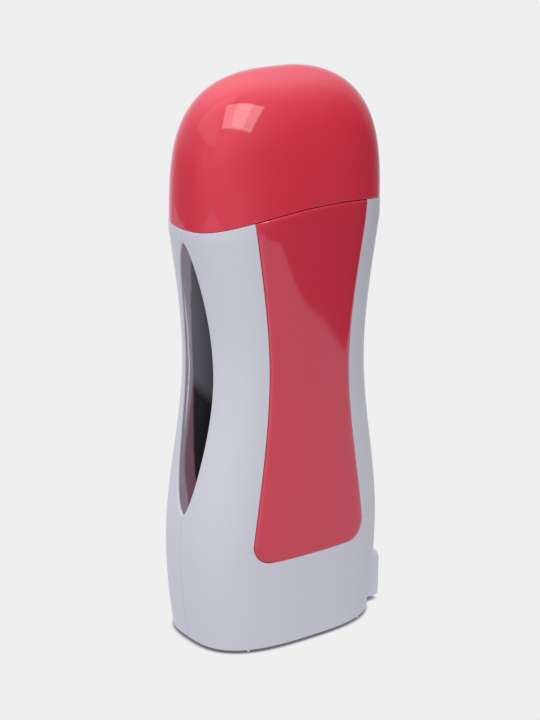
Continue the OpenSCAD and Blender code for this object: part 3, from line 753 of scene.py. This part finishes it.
def bottle_skin():
    pr = profile([(24.9, 46.0), (24.9, 143.9, 0), (24.9, 144.6, 0.5), (23.0, 144.6, 0.4), (23.0, 151.0, 0.3), (24.2, 151.0, 0.3),
                  (24.2, 146.0, 0.4), (26.0, 146.0, 1.1), (26.0, 44.2, 1.5), (24.8, 43.7)])
    pr[0] = (24.9, 46.0)
    inner = profile([(20.0, 46.0), (24.9, 46.0, 0.8), (24.9, 60.0)])
    seq = split_long(np.concatenate([inner, pr[1:]]), 6.0)
    foot = profile([(26.0, 45.4), (26.0, 43.7, 1.4), (22.0, 43.7)])
    seq = [p for p in seq if not (p[0] > 24.85 and p[1] < 45.3 and p[1] < 46.0 - 0.1)]
    seq = list(seq) + list(foot)
    loops = [oval(f, f - 11.0, 2.6, z) for f, z in seq]
    return rings(loops, start=(0, 0, 46.0), end=(0, 0, 43.7))


def wax_skin():
    pr = [(6.0, 127.35), (14.0, 127.35), (20.0, 127.4), (23.2, 127.55), (24.4, 127.85), (24.8, 128.0), (24.8, 127.5)]
    pr += [(24.8, z) for z in np.linspace(122, 48, 12)] + [(24.8, 46.7), (24.6, 46.3), (24.2, 46.1), (20.0, 46.1)]
    return rings([oval(f, f - 11.0, 2.6, z) for f, z in pr], start=(0, 0, 127.35), end=(0, 0, 46.1))


def roller_skin():
    prof = [(0.6, -23.5), (1.4, -23.5), (1.85, -23.35), (2.0, -23.0), (2.0, -21.4), (2.0, -20.75), (2.2, -20.6), (5.0, -20.45), (5.2, -20.5),
            (5.3, -20.95), (5.5, -21.0), (8.7, -21.0), (9.2, -20.87), (9.45, -20.55), (9.5, -20.2)]
    prof += [(9.5, x) for x in np.linspace(-18, 18, 13)]
    prof += [(r, -x) for r, x in prof[:15][::-1]]
    m = 128
    a = np.linspace(0, 2*math.pi, m, endpoint=False)
    loops = [np.stack([np.full(m, x), r*np.cos(a), 171.2 + r*np.sin(a)], -1) for r, x in prof[::-1]]
    return rings(loops, start=(23.5, 0, 171.2), end=(-23.5, 0, 171.2))


def rounded_rect(w, h, r, a):
    """Distance from the centre to a rounded rectangle along the directions a."""
    c, t = np.cos(a), np.sin(a)
    out = np.empty(len(a))
    for i, (x, y) in enumerate(zip(np.abs(c), np.abs(t))):
        k = min(w/2/max(x, 1e-9), h/2/max(y, 1e-9))
        if k*x > w/2 - r and k*y > h/2 - r:
            cx, cy = w/2 - r, h/2 - r
            b = x*cx + y*cy
            k = b + math.sqrt(max(b*b - (cx*cx + cy*cy - r*r), 0))
        out[i] = k
    return out


def surround(a, g=0.0):
    """Distance from the socket's centre to the surround's outline, drawn in by g, along the directions a."""
    out = np.empty(len(a))
    for i, t in enumerate(a):
        x, y = abs(math.cos(t)), abs(math.sin(t))
        up = math.sin(t) >= 0
        w = INLET_W/2 - g
        h = (INLET_TOP - INLET_Z if up else INLET_Z - INLET_LOW) - g
        r = (3.0 if up else 1.6) - 0.6*g
        k = min(w/max(x, 1e-9), h/max(y, 1e-9))
        if k*x > w - r and k*y > h - r:
            b = x*(w - r) + y*(h - r)
            k = b + math.sqrt(max(b*b - ((w - r)**2 + (h - r)**2 - r*r), 0))
        out[i] = k
    return out


def figure_eight(a, g=0.0):
    """Distance from the centre to the two-pole socket's outline along the directions a."""
    out = np.empty(len(a))
    for i, t in enumerate(a):
        x, y = abs(math.cos(t)), abs(math.sin(t))
        R, c = 4.1 + g, 4.3
        disc = (x*c)**2 - (c*c - R*R)
        k1 = x*c + math.sqrt(disc) if disc >= 0 else 0
        k2 = min((3.5 + g)/max(y, 1e-9), c/max(x, 1e-9))
        out[i] = max(k1, k2)
    return out


def inlet_skin():
    base = np.linspace(0, 2*math.pi, 4001)
    k = surround(base, 1.0)
    q = np.stack([k*np.cos(base), k*np.sin(base)], -1)
    L = np.concatenate([[0], np.cumsum(np.linalg.norm(np.diff(q, axis=0), axis=1))])
    M = 176
    a = np.interp(np.linspace(0, L[-1], M, endpoint=False), L, base)

    def loop(k, x):
        y, z = k*np.cos(a), INLET_Z + k*np.sin(a)
        return np.stack([np.broadcast_to(x, y.shape), y, z], -1)

    loops = [loop(figure_eight(a)*0.5, INLET_X - 9), loop(figure_eight(a) - 0.15, INLET_X - 9), loop(figure_eight(a), INLET_X - 8.8)]
    for x in (6.0, 3.0, 1.2):
        loops.append(loop(figure_eight(a), INLET_X - x))
    for p in fillet((0, -0.45), (0, 0), (0.45, 0)):
        loops.append(loop(figure_eight(a, 0.0) + p[0], INLET_X + p[1]))
    f8 = figure_eight(a) + 0.45
    # front face and its rounded border
    face = surround(a, 1.5)
    loops.append(loop(0.5*f8 + 0.5*face, INLET_X))
    full = surround(a)
    for t in np.linspace(0, 1, 9):
        c, sn = math.cos(t*math.pi/2), math.sin(t*math.pi/2)
        loops.append(loop(face + (full - face)*sn, INLET_X - 1.5*(1 - c)))
    rim = loops[-1]
    y, z = rim[:, 1], rim[:, 2]
    xs = x_at(y, z, -0.06)
    for t in (0.3, 0.6, 0.85):
        r = rim.copy()
        r[:, 0] = rim[:, 0] + (xs - rim[:, 0])*t
        loops.append(r)
    r = rim.copy()
    r[:, 0] = xs + 0.02
    loops.append(r)
    neck = rounded_rect(19.6, 11.2, 1.4, a)
    r = loop(neck, 0)
    r[:, 0] = x_at(r[:, 1], r[:, 2], -0.06)
    loops.append(r)
    loops.append(loop(neck, 30.0))
    flange = rounded_rect(20.6, 13.6, 1.4, a)
    loops.append(loop(flange, 30.0))
    loops.append(loop(flange, 28.3))
    loops.append(loop(flange*0.5, 28.3))
    return rings(loops, start=(INLET_X - 9, 0, INLET_Z), end=(28.3, 0, INLET_Z))


def nub_skin(x, y):
    """One of the small moulded bumps under the casing's edge."""
    prof = [(0.25, 1.25), (0.45, 1.25), (0.45, 1.0), (0.45, 0.6), (0.44, 0.47), (0.37, 0.39), (0.26, 0.35)]
    a = np.linspace(0, 2*math.pi, 32, endpoint=False)
    loops = [np.stack([x + r*np.cos(a), y + r*np.sin(a), np.full(32, z)], -1) for r, z in prof]
    return rings(loops, start=(x, y, 1.25), end=(x, y, 0.35))


# ---------------------------------------------------------------- objects
def make(name, skin, body, slot, nodes, own_normals=True, sharp=38):
    me = bpy.data.meshes.new(name)
    me.from_pydata([(x*0.001, y*0.001, z*0.001) for x, y, z in skin.v], [], skin.f)
    me.polygons.foreach_set("use_smooth", [True]*len(me.polygons))
    me.update()
    if own_normals:
        me.normals_split_custom_set(skin.n)
    else:
        me.set_sharp_from_angle(angle=math.radians(sharp))
    o = bpy.data.objects.new(name, me)
    bpy.context.scene.collection.objects.link(o)
    if not own_normals:
        w = o.modifiers.new("even_normals", "WEIGHTED_NORMAL")
        w.keep_sharp = True
        w.weight = 60
    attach(o, body)
    if nodes:
        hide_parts(*nodes)
    o.data.materials.append(MATS[slot])
    return o


# ---------------------------------------------------------------- materials
def node(nt, kind, **kw):
    n = nt.nodes.new(kind)
    for k, v in kw.items():
        setattr(n, k, v)
    return n


def noise(nt, co, scale, detail=3.0, rough=0.5):
    n = node(nt, "ShaderNodeTexNoise")
    n.inputs["Scale"].default_value = scale
    n.inputs["Detail"].default_value = detail
    n.inputs["Roughness"].default_value = rough
    nt.links.new(co, n.inputs["Vector"])
    return n.outputs["Fac"]


def remap(nt, fac, lo, hi, a=0.3, b=0.7):
    n = node(nt, "ShaderNodeMapRange")
    n.inputs["From Min"].default_value = a
    n.inputs["From Max"].default_value = b
    n.inputs["To Min"].default_value = lo
    n.inputs["To Max"].default_value = hi
    nt.links.new(fac, n.inputs["Value"])
    return n.outputs["Result"]


def ramp(nt, fac, stops):
    n = node(nt, "ShaderNodeValToRGB")
    e = n.color_ramp.elements
    while len(e) < len(stops):
        e.new(0.5)
    for el, (pos, col) in zip(e, stops):
        el.position = pos
        el.color = (*col, 1)
    nt.links.new(fac, n.inputs["Fac"])
    return n.outputs["Color"]


def shade(c, k):
    return tuple(min(1.0, x*k) for x in c)


def plastic(name, colour, rough, spread=0.03, vary=0.03, vary_scale=35.0, grain=700.0, grain_depth=0.00002, wave=0.0, wave_scale=90.0,
            coat=0.0, coat_rough=0.05, level_=0.5, sss=0.0, metal=0.0, transmission=0.0, ior=1.5, sheen=0.0, second=None, alpha=1.0):
    """Moulded plastic: colour drifts a little, roughness is uneven, and the surface carries a fine grain and slow waves."""
    m = bpy.data.materials.new(name)
    m.use_nodes = True
    nt = m.node_tree
    b = nt.nodes["Principled BSDF"]
    co = node(nt, "ShaderNodeTexCoord").outputs["Object"]
    lo, hi = (second or shade(colour, 1 - vary)), shade(colour, 1 + vary)
    nt.links.new(ramp(nt, noise(nt, co, vary_scale, 4.0, 0.55), [(0.32, lo), (0.68, hi)]), b.inputs["Base Color"])
    nt.links.new(remap(nt, noise(nt, co, vary_scale*3.1, 5.0, 0.6), max(rough - spread, 0.02), rough + spread), b.inputs["Roughness"])
    b.inputs["Specular IOR Level"].default_value = level_
    b.inputs["IOR"].default_value = ior
    b.inputs["Metallic"].default_value = metal
    if coat:
        b.inputs["Coat Weight"].default_value = coat
        b.inputs["Coat Roughness"].default_value = coat_rough
    if sss:
        b.inputs["Subsurface Weight"].default_value = sss
        b.inputs["Subsurface Radius"].default_value = (0.004, 0.0015, 0.001)
        b.inputs["Subsurface Scale"].default_value = 0.5
    if transmission:
        b.inputs["Transmission Weight"].default_value = transmission
    if sheen:
        b.inputs["Sheen Weight"].default_value = sheen
    if alpha < 1:
        b.inputs["Alpha"].default_value = alpha
    last = None
    if grain:
        bp = node(nt, "ShaderNodeBump")
        bp.inputs["Strength"].default_value = 0.5
        bp.inputs["Distance"].default_value = grain_depth
        nt.links.new(noise(nt, co, grain, 2.0, 0.5), bp.inputs["Height"])
        last = bp
    if wave:
        bw = node(nt, "ShaderNodeBump")
        bw.inputs["Strength"].default_value = 1.0
        bw.inputs["Distance"].default_value = wave
        nt.links.new(noise(nt, co, wave_scale, 1.0, 0.4), bw.inputs["Height"])
        if last:
            nt.links.new(last.outputs["Normal"], bw.inputs["Normal"])
        last = bw
    if last:
        nt.links.new(last.outputs["Normal"], b.inputs["Normal"])
        if coat and wave:
            nt.links.new(last.outputs["Normal"], b.inputs["Coat Normal"])
    return m


def lens_material():
    """Smoked clear plastic with painted light and shade in its colour: a pale part of painted light at the rear,
    painted shade deepening towards the front and below, a painted highlight line and a dark red streak low down beside
    the pale part.
    """
    m = bpy.data.materials.new("smoked_lens")
    m.use_nodes = True
    nt = m.node_tree
    b = nt.nodes["Principled BSDF"]
    co = node(nt, "ShaderNodeTexCoord").outputs["Object"]
    sep = node(nt, "ShaderNodeSeparateXYZ")
    nt.links.new(co, sep.inputs[0])

    def calc(op, a, c, d=None):
        n = node(nt, "ShaderNodeMath", operation=op)
        for i, x in enumerate((a, c, d)):
            if x is None:
                continue
            if isinstance(x, (int, float)):
                n.inputs[i].default_value = x
            else:
                nt.links.new(x, n.inputs[i])
        return n.outputs["Value"]

    def mix(fac, a, c):
        n = node(nt, "ShaderNodeMix", data_type="RGBA")
        nt.links.new(fac, n.inputs[0])
        for i, x in ((6, a), (7, c)):
            if isinstance(x, tuple):
                n.inputs[i].default_value = (*x, 1)
            else:
                nt.links.new(x, n.inputs[i])
        return n.outputs[2]

    wob = calc("MULTIPLY_ADD", noise(nt, co, 140, 3.0, 0.5), 0.0016, -0.0008)
    y = calc("ADD", sep.outputs["Y"], wob)
    z = calc("ADD", sep.outputs["Z"], wob)
    over = calc("POWER", calc("MAXIMUM", calc("SUBTRACT", z, 0.100), 0.0), 2.0)
    under = calc("POWER", calc("MAXIMUM", calc("SUBTRACT", 0.100, z), 0.0), 2.0)
    line = calc("MULTIPLY_ADD", over, -4.9, calc("MULTIPLY_ADD", under, -4.5, 0.0028))   # where the pale rear part of painted light ends
    past = calc("SUBTRACT", y, line)
    # rear: where the pale painted light lies; the rest of the lens is painted shade
    rear = remap(nt, past, 0, 1, -0.0004, 0.0006)
    # low: the lower zone below a gently sloping line, where the painted shade is near black
    low = remap(nt, calc("MULTIPLY_ADD", y, -0.35, z), 1, 0, 0.0875, 0.0925)
    # painted shade: dark colours that deepen towards the front and go near black in the low zone
    front = mix(remap(nt, y, 0, 1, -0.008, 0.0), (0.014, 0.015, 0.018), (0.036, 0.034, 0.039))
    front = mix(low, front, (0.0008, 0.0008, 0.0010))
    # painted light: the pale mauve rear part
    pale = mix(remap(nt, noise(nt, co, 60, 3.0, 0.6), 0, 1), (0.215, 0.150, 0.180), (0.275, 0.215, 0.255))
    # painted highlight: a thin bright vertical line in the pale part
    painted_glint = calc("MULTIPLY", remap(nt, calc("ABSOLUTE", calc("SUBTRACT", y, 0.0054), 0), 1, 0, 0.0001, 0.0006),
                 remap(nt, calc("ABSOLUTE", calc("SUBTRACT", z, 0.098), 0), 1, 0, 0.014, 0.026))
    pale = mix(painted_glint, pale, (0.72, 0.72, 0.74))
    # a dark red streak is painted low down along the pale part's edge, wider further down
    wide = calc("MINIMUM", calc("MULTIPLY", calc("MAXIMUM", calc("SUBTRACT", 0.088, z), 0.0), 0.22), 0.0054)
    streak = calc("MULTIPLY", low, remap(nt, calc("SUBTRACT", past, wide), 1, 0, 0.0, 0.0014))
    pale = mix(streak, pale, (0.115, 0.024, 0.041))
    nt.links.new(mix(rear, front, pale), b.inputs["Base Color"])
    nt.links.new(remap(nt, noise(nt, co, 90, 4.0, 0.6), 0.03, 0.07), b.inputs["Roughness"])
    # reflections are turned down where the painted shade is darkest
    dim = calc("MULTIPLY", low, calc("SUBTRACT", 1.0, rear))
    nt.links.new(remap(nt, dim, 0.5, 0.04, 0.0, 1.0), b.inputs["Specular IOR Level"])
    b.inputs["IOR"].default_value = 1.5
    b.inputs["Transmission Weight"].default_value = 0.15
    bw = node(nt, "ShaderNodeBump")
    bw.inputs["Strength"].default_value = 1.0
    bw.inputs["Distance"].default_value = 0.000004
    nt.links.new(noise(nt, co, 80, 1.0, 0.4), bw.inputs["Height"])
    nt.links.new(bw.outputs["Normal"], b.inputs["Normal"])
    return m


MATS = {
    "shell_white": plastic("satin_white", (0.630, 0.632, 0.653), 0.40, 0.04, 0.012, 22, 1500, 0.000012),
    "cap_coral": plastic("gloss_coral", (0.684, 0.0342, 0.0615), 0.055, 0.012, 0.012, 25, 0, wave=0.000004, wave_scale=60, ior=1.61),
    "inlay_coral": plastic("gloss_coral_inlay", (0.612, 0.0312, 0.0568), 0.055, 0.012, 0.012, 28, 0, wave=0.000003, wave_scale=70, ior=1.61),
    "smoked_lens": lens_material(),
    "collar_white": plastic("collar_white", (0.66, 0.67, 0.68), 0.42, 0.04, 0.012, 25, 1400, 0.000012),
    "base_white": plastic("base_white", (0.60, 0.61, 0.69), 0.5, 0.05, 0.02, 25, 1300, 0.00003),
    "foot_rubber": plastic("pad_rubber", (0.018, 0.018, 0.020), 0.8, 0.06, 0.12, 60, 900, 0.00006),
    "screw_steel": plastic("zinc_steel", (0.50, 0.51, 0.53), 0.32, 0.08, 0.06, 160, 2600, 0.00001, metal=1.0),
    "inlet_white": plastic("inlet_white", (0.645, 0.667, 0.695), 0.40, 0.04, 0.012, 25, 1400, 0.000012),
    "pin_brass": plastic("pin_brass", (0.62, 0.55, 0.40), 0.22, 0.06, 0.05, 200, 3000, 0.000006, metal=1.0),
    "well_black": plastic("well_black", (0.012, 0.012, 0.014), 0.45, 0.06, 0.1, 40, 1200, 0.00002),
    "plate_aluminium": plastic("mill_aluminium", (0.60, 0.61, 0.62), 0.36, 0.08, 0.04, 90, 2200, 0.00001, metal=1.0),
    "ptc_ceramic": plastic("ptc_ceramic", (0.13, 0.115, 0.10), 0.75, 0.06, 0.1, 300, 2500, 0.00002),
    "film_amber": plastic("amber_film", (0.60, 0.22, 0.02), 0.16, 0.04, 0.05, 80, 0, wave=0.00001, wave_scale=300),
    "spring_steel": plastic("spring_steel", (0.52, 0.53, 0.56), 0.25, 0.06, 0.04, 120, 2600, 0.000006, metal=1.0),
    "rivet_aluminium": plastic("rivet_aluminium", (0.66, 0.66, 0.67), 0.3, 0.06, 0.04, 200, 2600, 0.00001, metal=1.0),
    "fuse_ceramic": plastic("fuse_ceramic", (0.60, 0.57, 0.50), 0.5, 0.06, 0.05, 200, 2000, 0.00001),
    "board_green": plastic("board_green", (0.010, 0.075, 0.030), 0.28, 0.06, 0.15, 240, 2600, 0.00001),
    "component_body": plastic("component_body", (0.22, 0.14, 0.06), 0.35, 0.06, 0.12, 400, 0),
    "led_red": plastic("led_red", (0.55, 0.01, 0.012), 0.12, 0.03, 0.05, 200, 0, transmission=0.5, ior=1.5),
    "lead_brown": plastic("lead_brown", (0.055, 0.020, 0.008), 0.45, 0.06, 0.1, 200, 1800, 0.00001),
    "lead_blue": plastic("lead_blue", (0.008, 0.030, 0.22), 0.45, 0.06, 0.1, 200, 1800, 0.00001),
    "lead_white": plastic("lead_white", (0.62, 0.62, 0.60), 0.45, 0.06, 0.04, 200, 1800, 0.00001),
    "lead_black": plastic("lead_black", (0.012, 0.012, 0.012), 0.45, 0.06, 0.1, 200, 1800, 0.00001),
    "bottle_clear": plastic("bottle_clear", (0.34, 0.20, 0.21), 0.16, 0.04, 0.02, 40, 0, ior=1.46, alpha=0.10),
    "wax_red": plastic("wax_red", (0.260, 0.010, 0.022), 0.30, 0.08, 0.12, 70, 0, wave=0.00002, wave_scale=90, sss=0.15),
    "head_white": plastic("head_white", (0.70, 0.70, 0.73), 0.22, 0.04, 0.012, 25, 1400, 0.000008),
    "roller_white": plastic("roller_white", (0.68, 0.67, 0.70), 0.20, 0.04, 0.015, 40, 1400, 0.000008),
}

# ---------------------------------------------------------------- build
fs = front_shell_skin()
make("front_shell_cover", fs, "heater", "shell_white", ["front_shell"])
make("rear_shell_cover", fs.mirrored(), "heater", "shell_white", ["rear_shell"])
fi = front_inlay_skin()
make("front_inlay_panel", fi, "heater", "inlay_coral", ["front_inlay"])
make("rear_inlay_panel", fi.mirrored(), "heater", "inlay_coral", ["rear_inlay"])
make("window_lens", window_skin(), "heater", "smoked_lens", ["sight_window"])
make("dome_cap", cap_skin(), "cap", "cap_coral", ["cap"])
make("collar_ring", collar_skin(), "heater", "collar_white", ["neck_collar"], own_normals=False)
make("wax_bottle", bottle_skin(), "cartridge", "bottle_clear", ["cartridge_bottle"], own_normals=False)
make("wax_block", wax_skin(), "cartridge", "wax_red", ["wax_fill"], own_normals=False)
make("roll_on_roller", roller_skin(), "roller", "roller_white", ["roller"], own_normals=False, sharp=50)
make("mains_inlet_socket", inlet_skin(), "heater", "inlet_white", ["inlet_housing"], own_normals=False)
for i, (x, y) in enumerate(((-22.9, -19.1), (22.9, -19.1), (-22.9, 19.1), (22.9, 19.1))):
    make("edge_nub_%d" % (i + 1), nub_skin(x, y), "heater", "shell_white", [], own_normals=False)

for name, o in CAD.items():
    if o.hide_render:
        continue
    o.data.materials.clear()
    o.data.materials.append(MATS[SLOTS[name]])

# ---------------------------------------------------------------- floor, light, camera
def plane(name, corners, z):
    me = bpy.data.meshes.new(name)
    me.from_pydata([(x, y, z) for x, y in corners], [], [tuple(range(len(corners)))])
    o = bpy.data.objects.new(name, me)
    bpy.context.scene.collection.objects.link(o)
    return o


# what the camera sees as floor: pale, with a narrow contact shadow where it meets the heater
floor = plane("studio_floor", [(-30, -30), (30, -30), (30, 30), (-30, 30)], 0)
fm = bpy.data.materials.new("studio_floor")
fm.use_nodes = True
nt = fm.node_tree
nt.nodes.remove(nt.nodes["Principled BSDF"])
ao = node(nt, "ShaderNodeAmbientOcclusion", samples=12)
ao.inputs["Distance"].default_value = 0.0023
em = node(nt, "ShaderNodeEmission")
nt.links.new(ramp(nt, ao.outputs["AO"], [(0.05, (0.10, 0.095, 0.105)), (0.45, (0.17, 0.165, 0.19)), (0.58, (0.40, 0.40, 0.46)), (0.74, (0.80, 0.80, 0.82)), (0.86, (0.8632, 0.8632, 0.8632))]),
             em.inputs["Color"])
em.inputs["Strength"].default_value = 1.0
nt.links.new(em.outputs["Emission"], nt.nodes["Material Output"].inputs["Surface"])
fm.cycles.emission_sampling = "NONE"
floor.data.materials.append(fm)
floor.visible_glossy = floor.visible_diffuse = floor.visible_shadow = floor.visible_transmission = False

# what lights the heater from below: a lit table top of limited size
table = plane("studio_table", [(-0.747, -0.220), (-0.020, -0.651), (0.449, 0.140), (-0.277, 0.571)], -0.0002)
tm = bpy.data.materials.new("studio_table")
tm.use_nodes = True
nt = tm.node_tree
nt.nodes.remove(nt.nodes["Principled BSDF"])
em = node(nt, "ShaderNodeEmission")
em.inputs["Color"].default_value = (1, 1, 1.14, 1)
em.inputs["Strength"].default_value = 0.745
nt.links.new(em.outputs["Emission"], nt.nodes["Material Output"].inputs["Surface"])
table.data.materials.append(tm)
table.visible_camera = False
# the part of the table nearest the camera is brighter
near = plane("studio_table_near", [(-0.060, -0.120), (-0.150, -0.440), (-0.350, -0.330), (-0.105, -0.085)], -0.0001)
nm = bpy.data.materials.new("studio_table_near")
nm.use_nodes = True
nt = nm.node_tree
nt.nodes.remove(nt.nodes["Principled BSDF"])
em = node(nt, "ShaderNodeEmission")
em.inputs["Color"].default_value = (1, 1, 1.14, 1)
em.inputs["Strength"].default_value = 1.10
nt.links.new(em.outputs["Emission"], nt.nodes["Material Output"].inputs["Surface"])
near.data.materials.append(nm)
near.visible_camera = False


def area(name, where, look, w, h, power, twist=0.0):
    d = bpy.data.lights.new(name, "AREA")
    d.shape = "RECTANGLE"
    d.size, d.size_y, d.energy, d.color = w, h, power, (1, 1, 1.04)
    o = bpy.data.objects.new(name, d)
    bpy.context.scene.collection.objects.link(o)
    o.location = where
    o.rotation_mode = "QUATERNION"
    q = (Vector(look) - Vector(where)).to_track_quat("-Z", "Y")
    o.rotation_quaternion = q @ Quaternion((0, 0, 1), math.radians(twist))
    return o


area("key_softbox", (-0.324, -0.529, 1.068), (-0.01, -0.01, 0.15), 1.045, 0.704, 6.1, -14)
area("key_lamp", (-0.262, -0.548, 1.068), (-0.01, -0.01, 0.15), 0.40, 0.68, 1.1, -18)

# a dim room with a few broad bright regions: (direction, strength)
ROOM = [
    ((0.41, 0.12, 0.90), 1.12),
    ((-0.26, -0.43, 0.86), 0.27),
    ((-0.11, 0.55, 0.83), 1.02),
    ((0.50, -0.37, 0.79), 0.04),
    ((0.02, -0.74, 0.67), 0.38),
    ((-0.65, -0.52, 0.55), 0.54),
    ((0.13, 0.85, 0.52), 0.27),
    ((-0.87, 0.22, 0.44), 0.12),
    ((0.80, 0.44, 0.40), 0.24),
    ((-0.38, 0.87, 0.32), 0.13),
    ((-0.92, -0.31, 0.24), 0.22),
    ((-0.06, 1.00, 0.01), 0.23),
    ((-1.00, 0.03, -0.07), 0.22),
    ((0.75, 0.65, -0.10), 0.42),
    ((-0.83, -0.50, -0.26), 0.10),
    ((0.27, 0.92, -0.30), 0.94),
    ((0.41, -0.85, -0.34), 0.06),
    ((-0.86, 0.34, -0.38), 0.12),
    ((-0.40, -0.80, -0.45), 0.50),
    ((0.72, -0.44, -0.53), 0.05),
]
world = bpy.data.worlds.new("studio")
bpy.context.scene.world = world
world.use_nodes = True
nt = world.node_tree
bg = nt.nodes["Background"]
tc = node(nt, "ShaderNodeTexCoord")
total = None
for axis, strength in ROOM:
    dot = node(nt, "ShaderNodeVectorMath", operation="DOT_PRODUCT")
    dot.inputs[1].default_value = Vector(axis).normalized()
    nt.links.new(tc.outputs["Generated"], dot.inputs[0])
    clip = node(nt, "ShaderNodeMath", operation="MAXIMUM")
    nt.links.new(dot.outputs["Value"], clip.inputs[0])
    clip.inputs[1].default_value = 0.0
    power = node(nt, "ShaderNodeMath", operation="POWER")
    nt.links.new(clip.outputs["Value"], power.inputs[0])
    power.inputs[1].default_value = 7.0
    add = node(nt, "ShaderNodeMath", operation="MULTIPLY_ADD")
    nt.links.new(power.outputs["Value"], add.inputs[0])
    add.inputs[1].default_value = strength
    if total is None:
        add.inputs[2].default_value = 0.01
    else:
        nt.links.new(total, add.inputs[2])
    total = add.outputs["Value"]
# two bright fields with clear edges: (strength, planes that bound it as (direction, start, end))
FIELDS = [
    (0.15, [((0.052, 0.999, 0.000), -0.02, 0.02), ((0, 0, 1), -0.05, 0.1)]),
    (0.50, [((-0.242, 0.970, 0.000), -0.02, 0.03), ((-0.766, -0.643, 0.000), -0.05, 0.05), ((0, 0, 1), 0.30, 0.36)]),
]
for strength, planes in FIELDS:
    mask = None
    for axis, start, end in planes:
        dot = node(nt, "ShaderNodeVectorMath", operation="DOT_PRODUCT")
        dot.inputs[1].default_value = Vector(axis).normalized()
        nt.links.new(tc.outputs["Generated"], dot.inputs[0])
        edge = remap(nt, dot.outputs["Value"], 0, 1, start, end)
        if mask is None:
            mask = edge
        else:
            both = node(nt, "ShaderNodeMath", operation="MULTIPLY")
            nt.links.new(mask, both.inputs[0])
            nt.links.new(edge, both.inputs[1])
            mask = both.outputs["Value"]
    add = node(nt, "ShaderNodeMath", operation="MULTIPLY_ADD")
    nt.links.new(mask, add.inputs[0])
    add.inputs[1].default_value = strength
    nt.links.new(total, add.inputs[2])
    total = add.outputs["Value"]
bg.inputs["Color"].default_value = (1, 1, 1.10, 1)
nt.links.new(total, bg.inputs["Strength"])

cam = bpy.data.cameras.new("camera")
cam.sensor_width = 36
cam.sensor_fit = "AUTO"
cam.lens = 2087.0/720*36
cam.shift_x = -(273.67 - 270)/720
cam.shift_y = -(360 - 353.87)/720
cam.clip_start, cam.clip_end = 0.01, 50
co = bpy.data.objects.new("camera", cam)
bpy.context.scene.collection.objects.link(co)
R, U, K = Vector((0.81006, -0.58623, 0.01138)), Vector((0.17719, 0.26325, 0.94832)), Vector((-0.55893, -0.76618, 0.31713))
co.matrix_world = Matrix(((R.x, U.x, K.x, -0.38630), (R.y, U.y, K.y, -0.52954), (R.z, U.z, K.z, 0.31420), (0, 0, 0, 1)))
bpy.context.scene.camera = co
bpy.context.scene.view_settings.view_transform = "Standard"
bpy.context.scene.view_settings.look = "None"
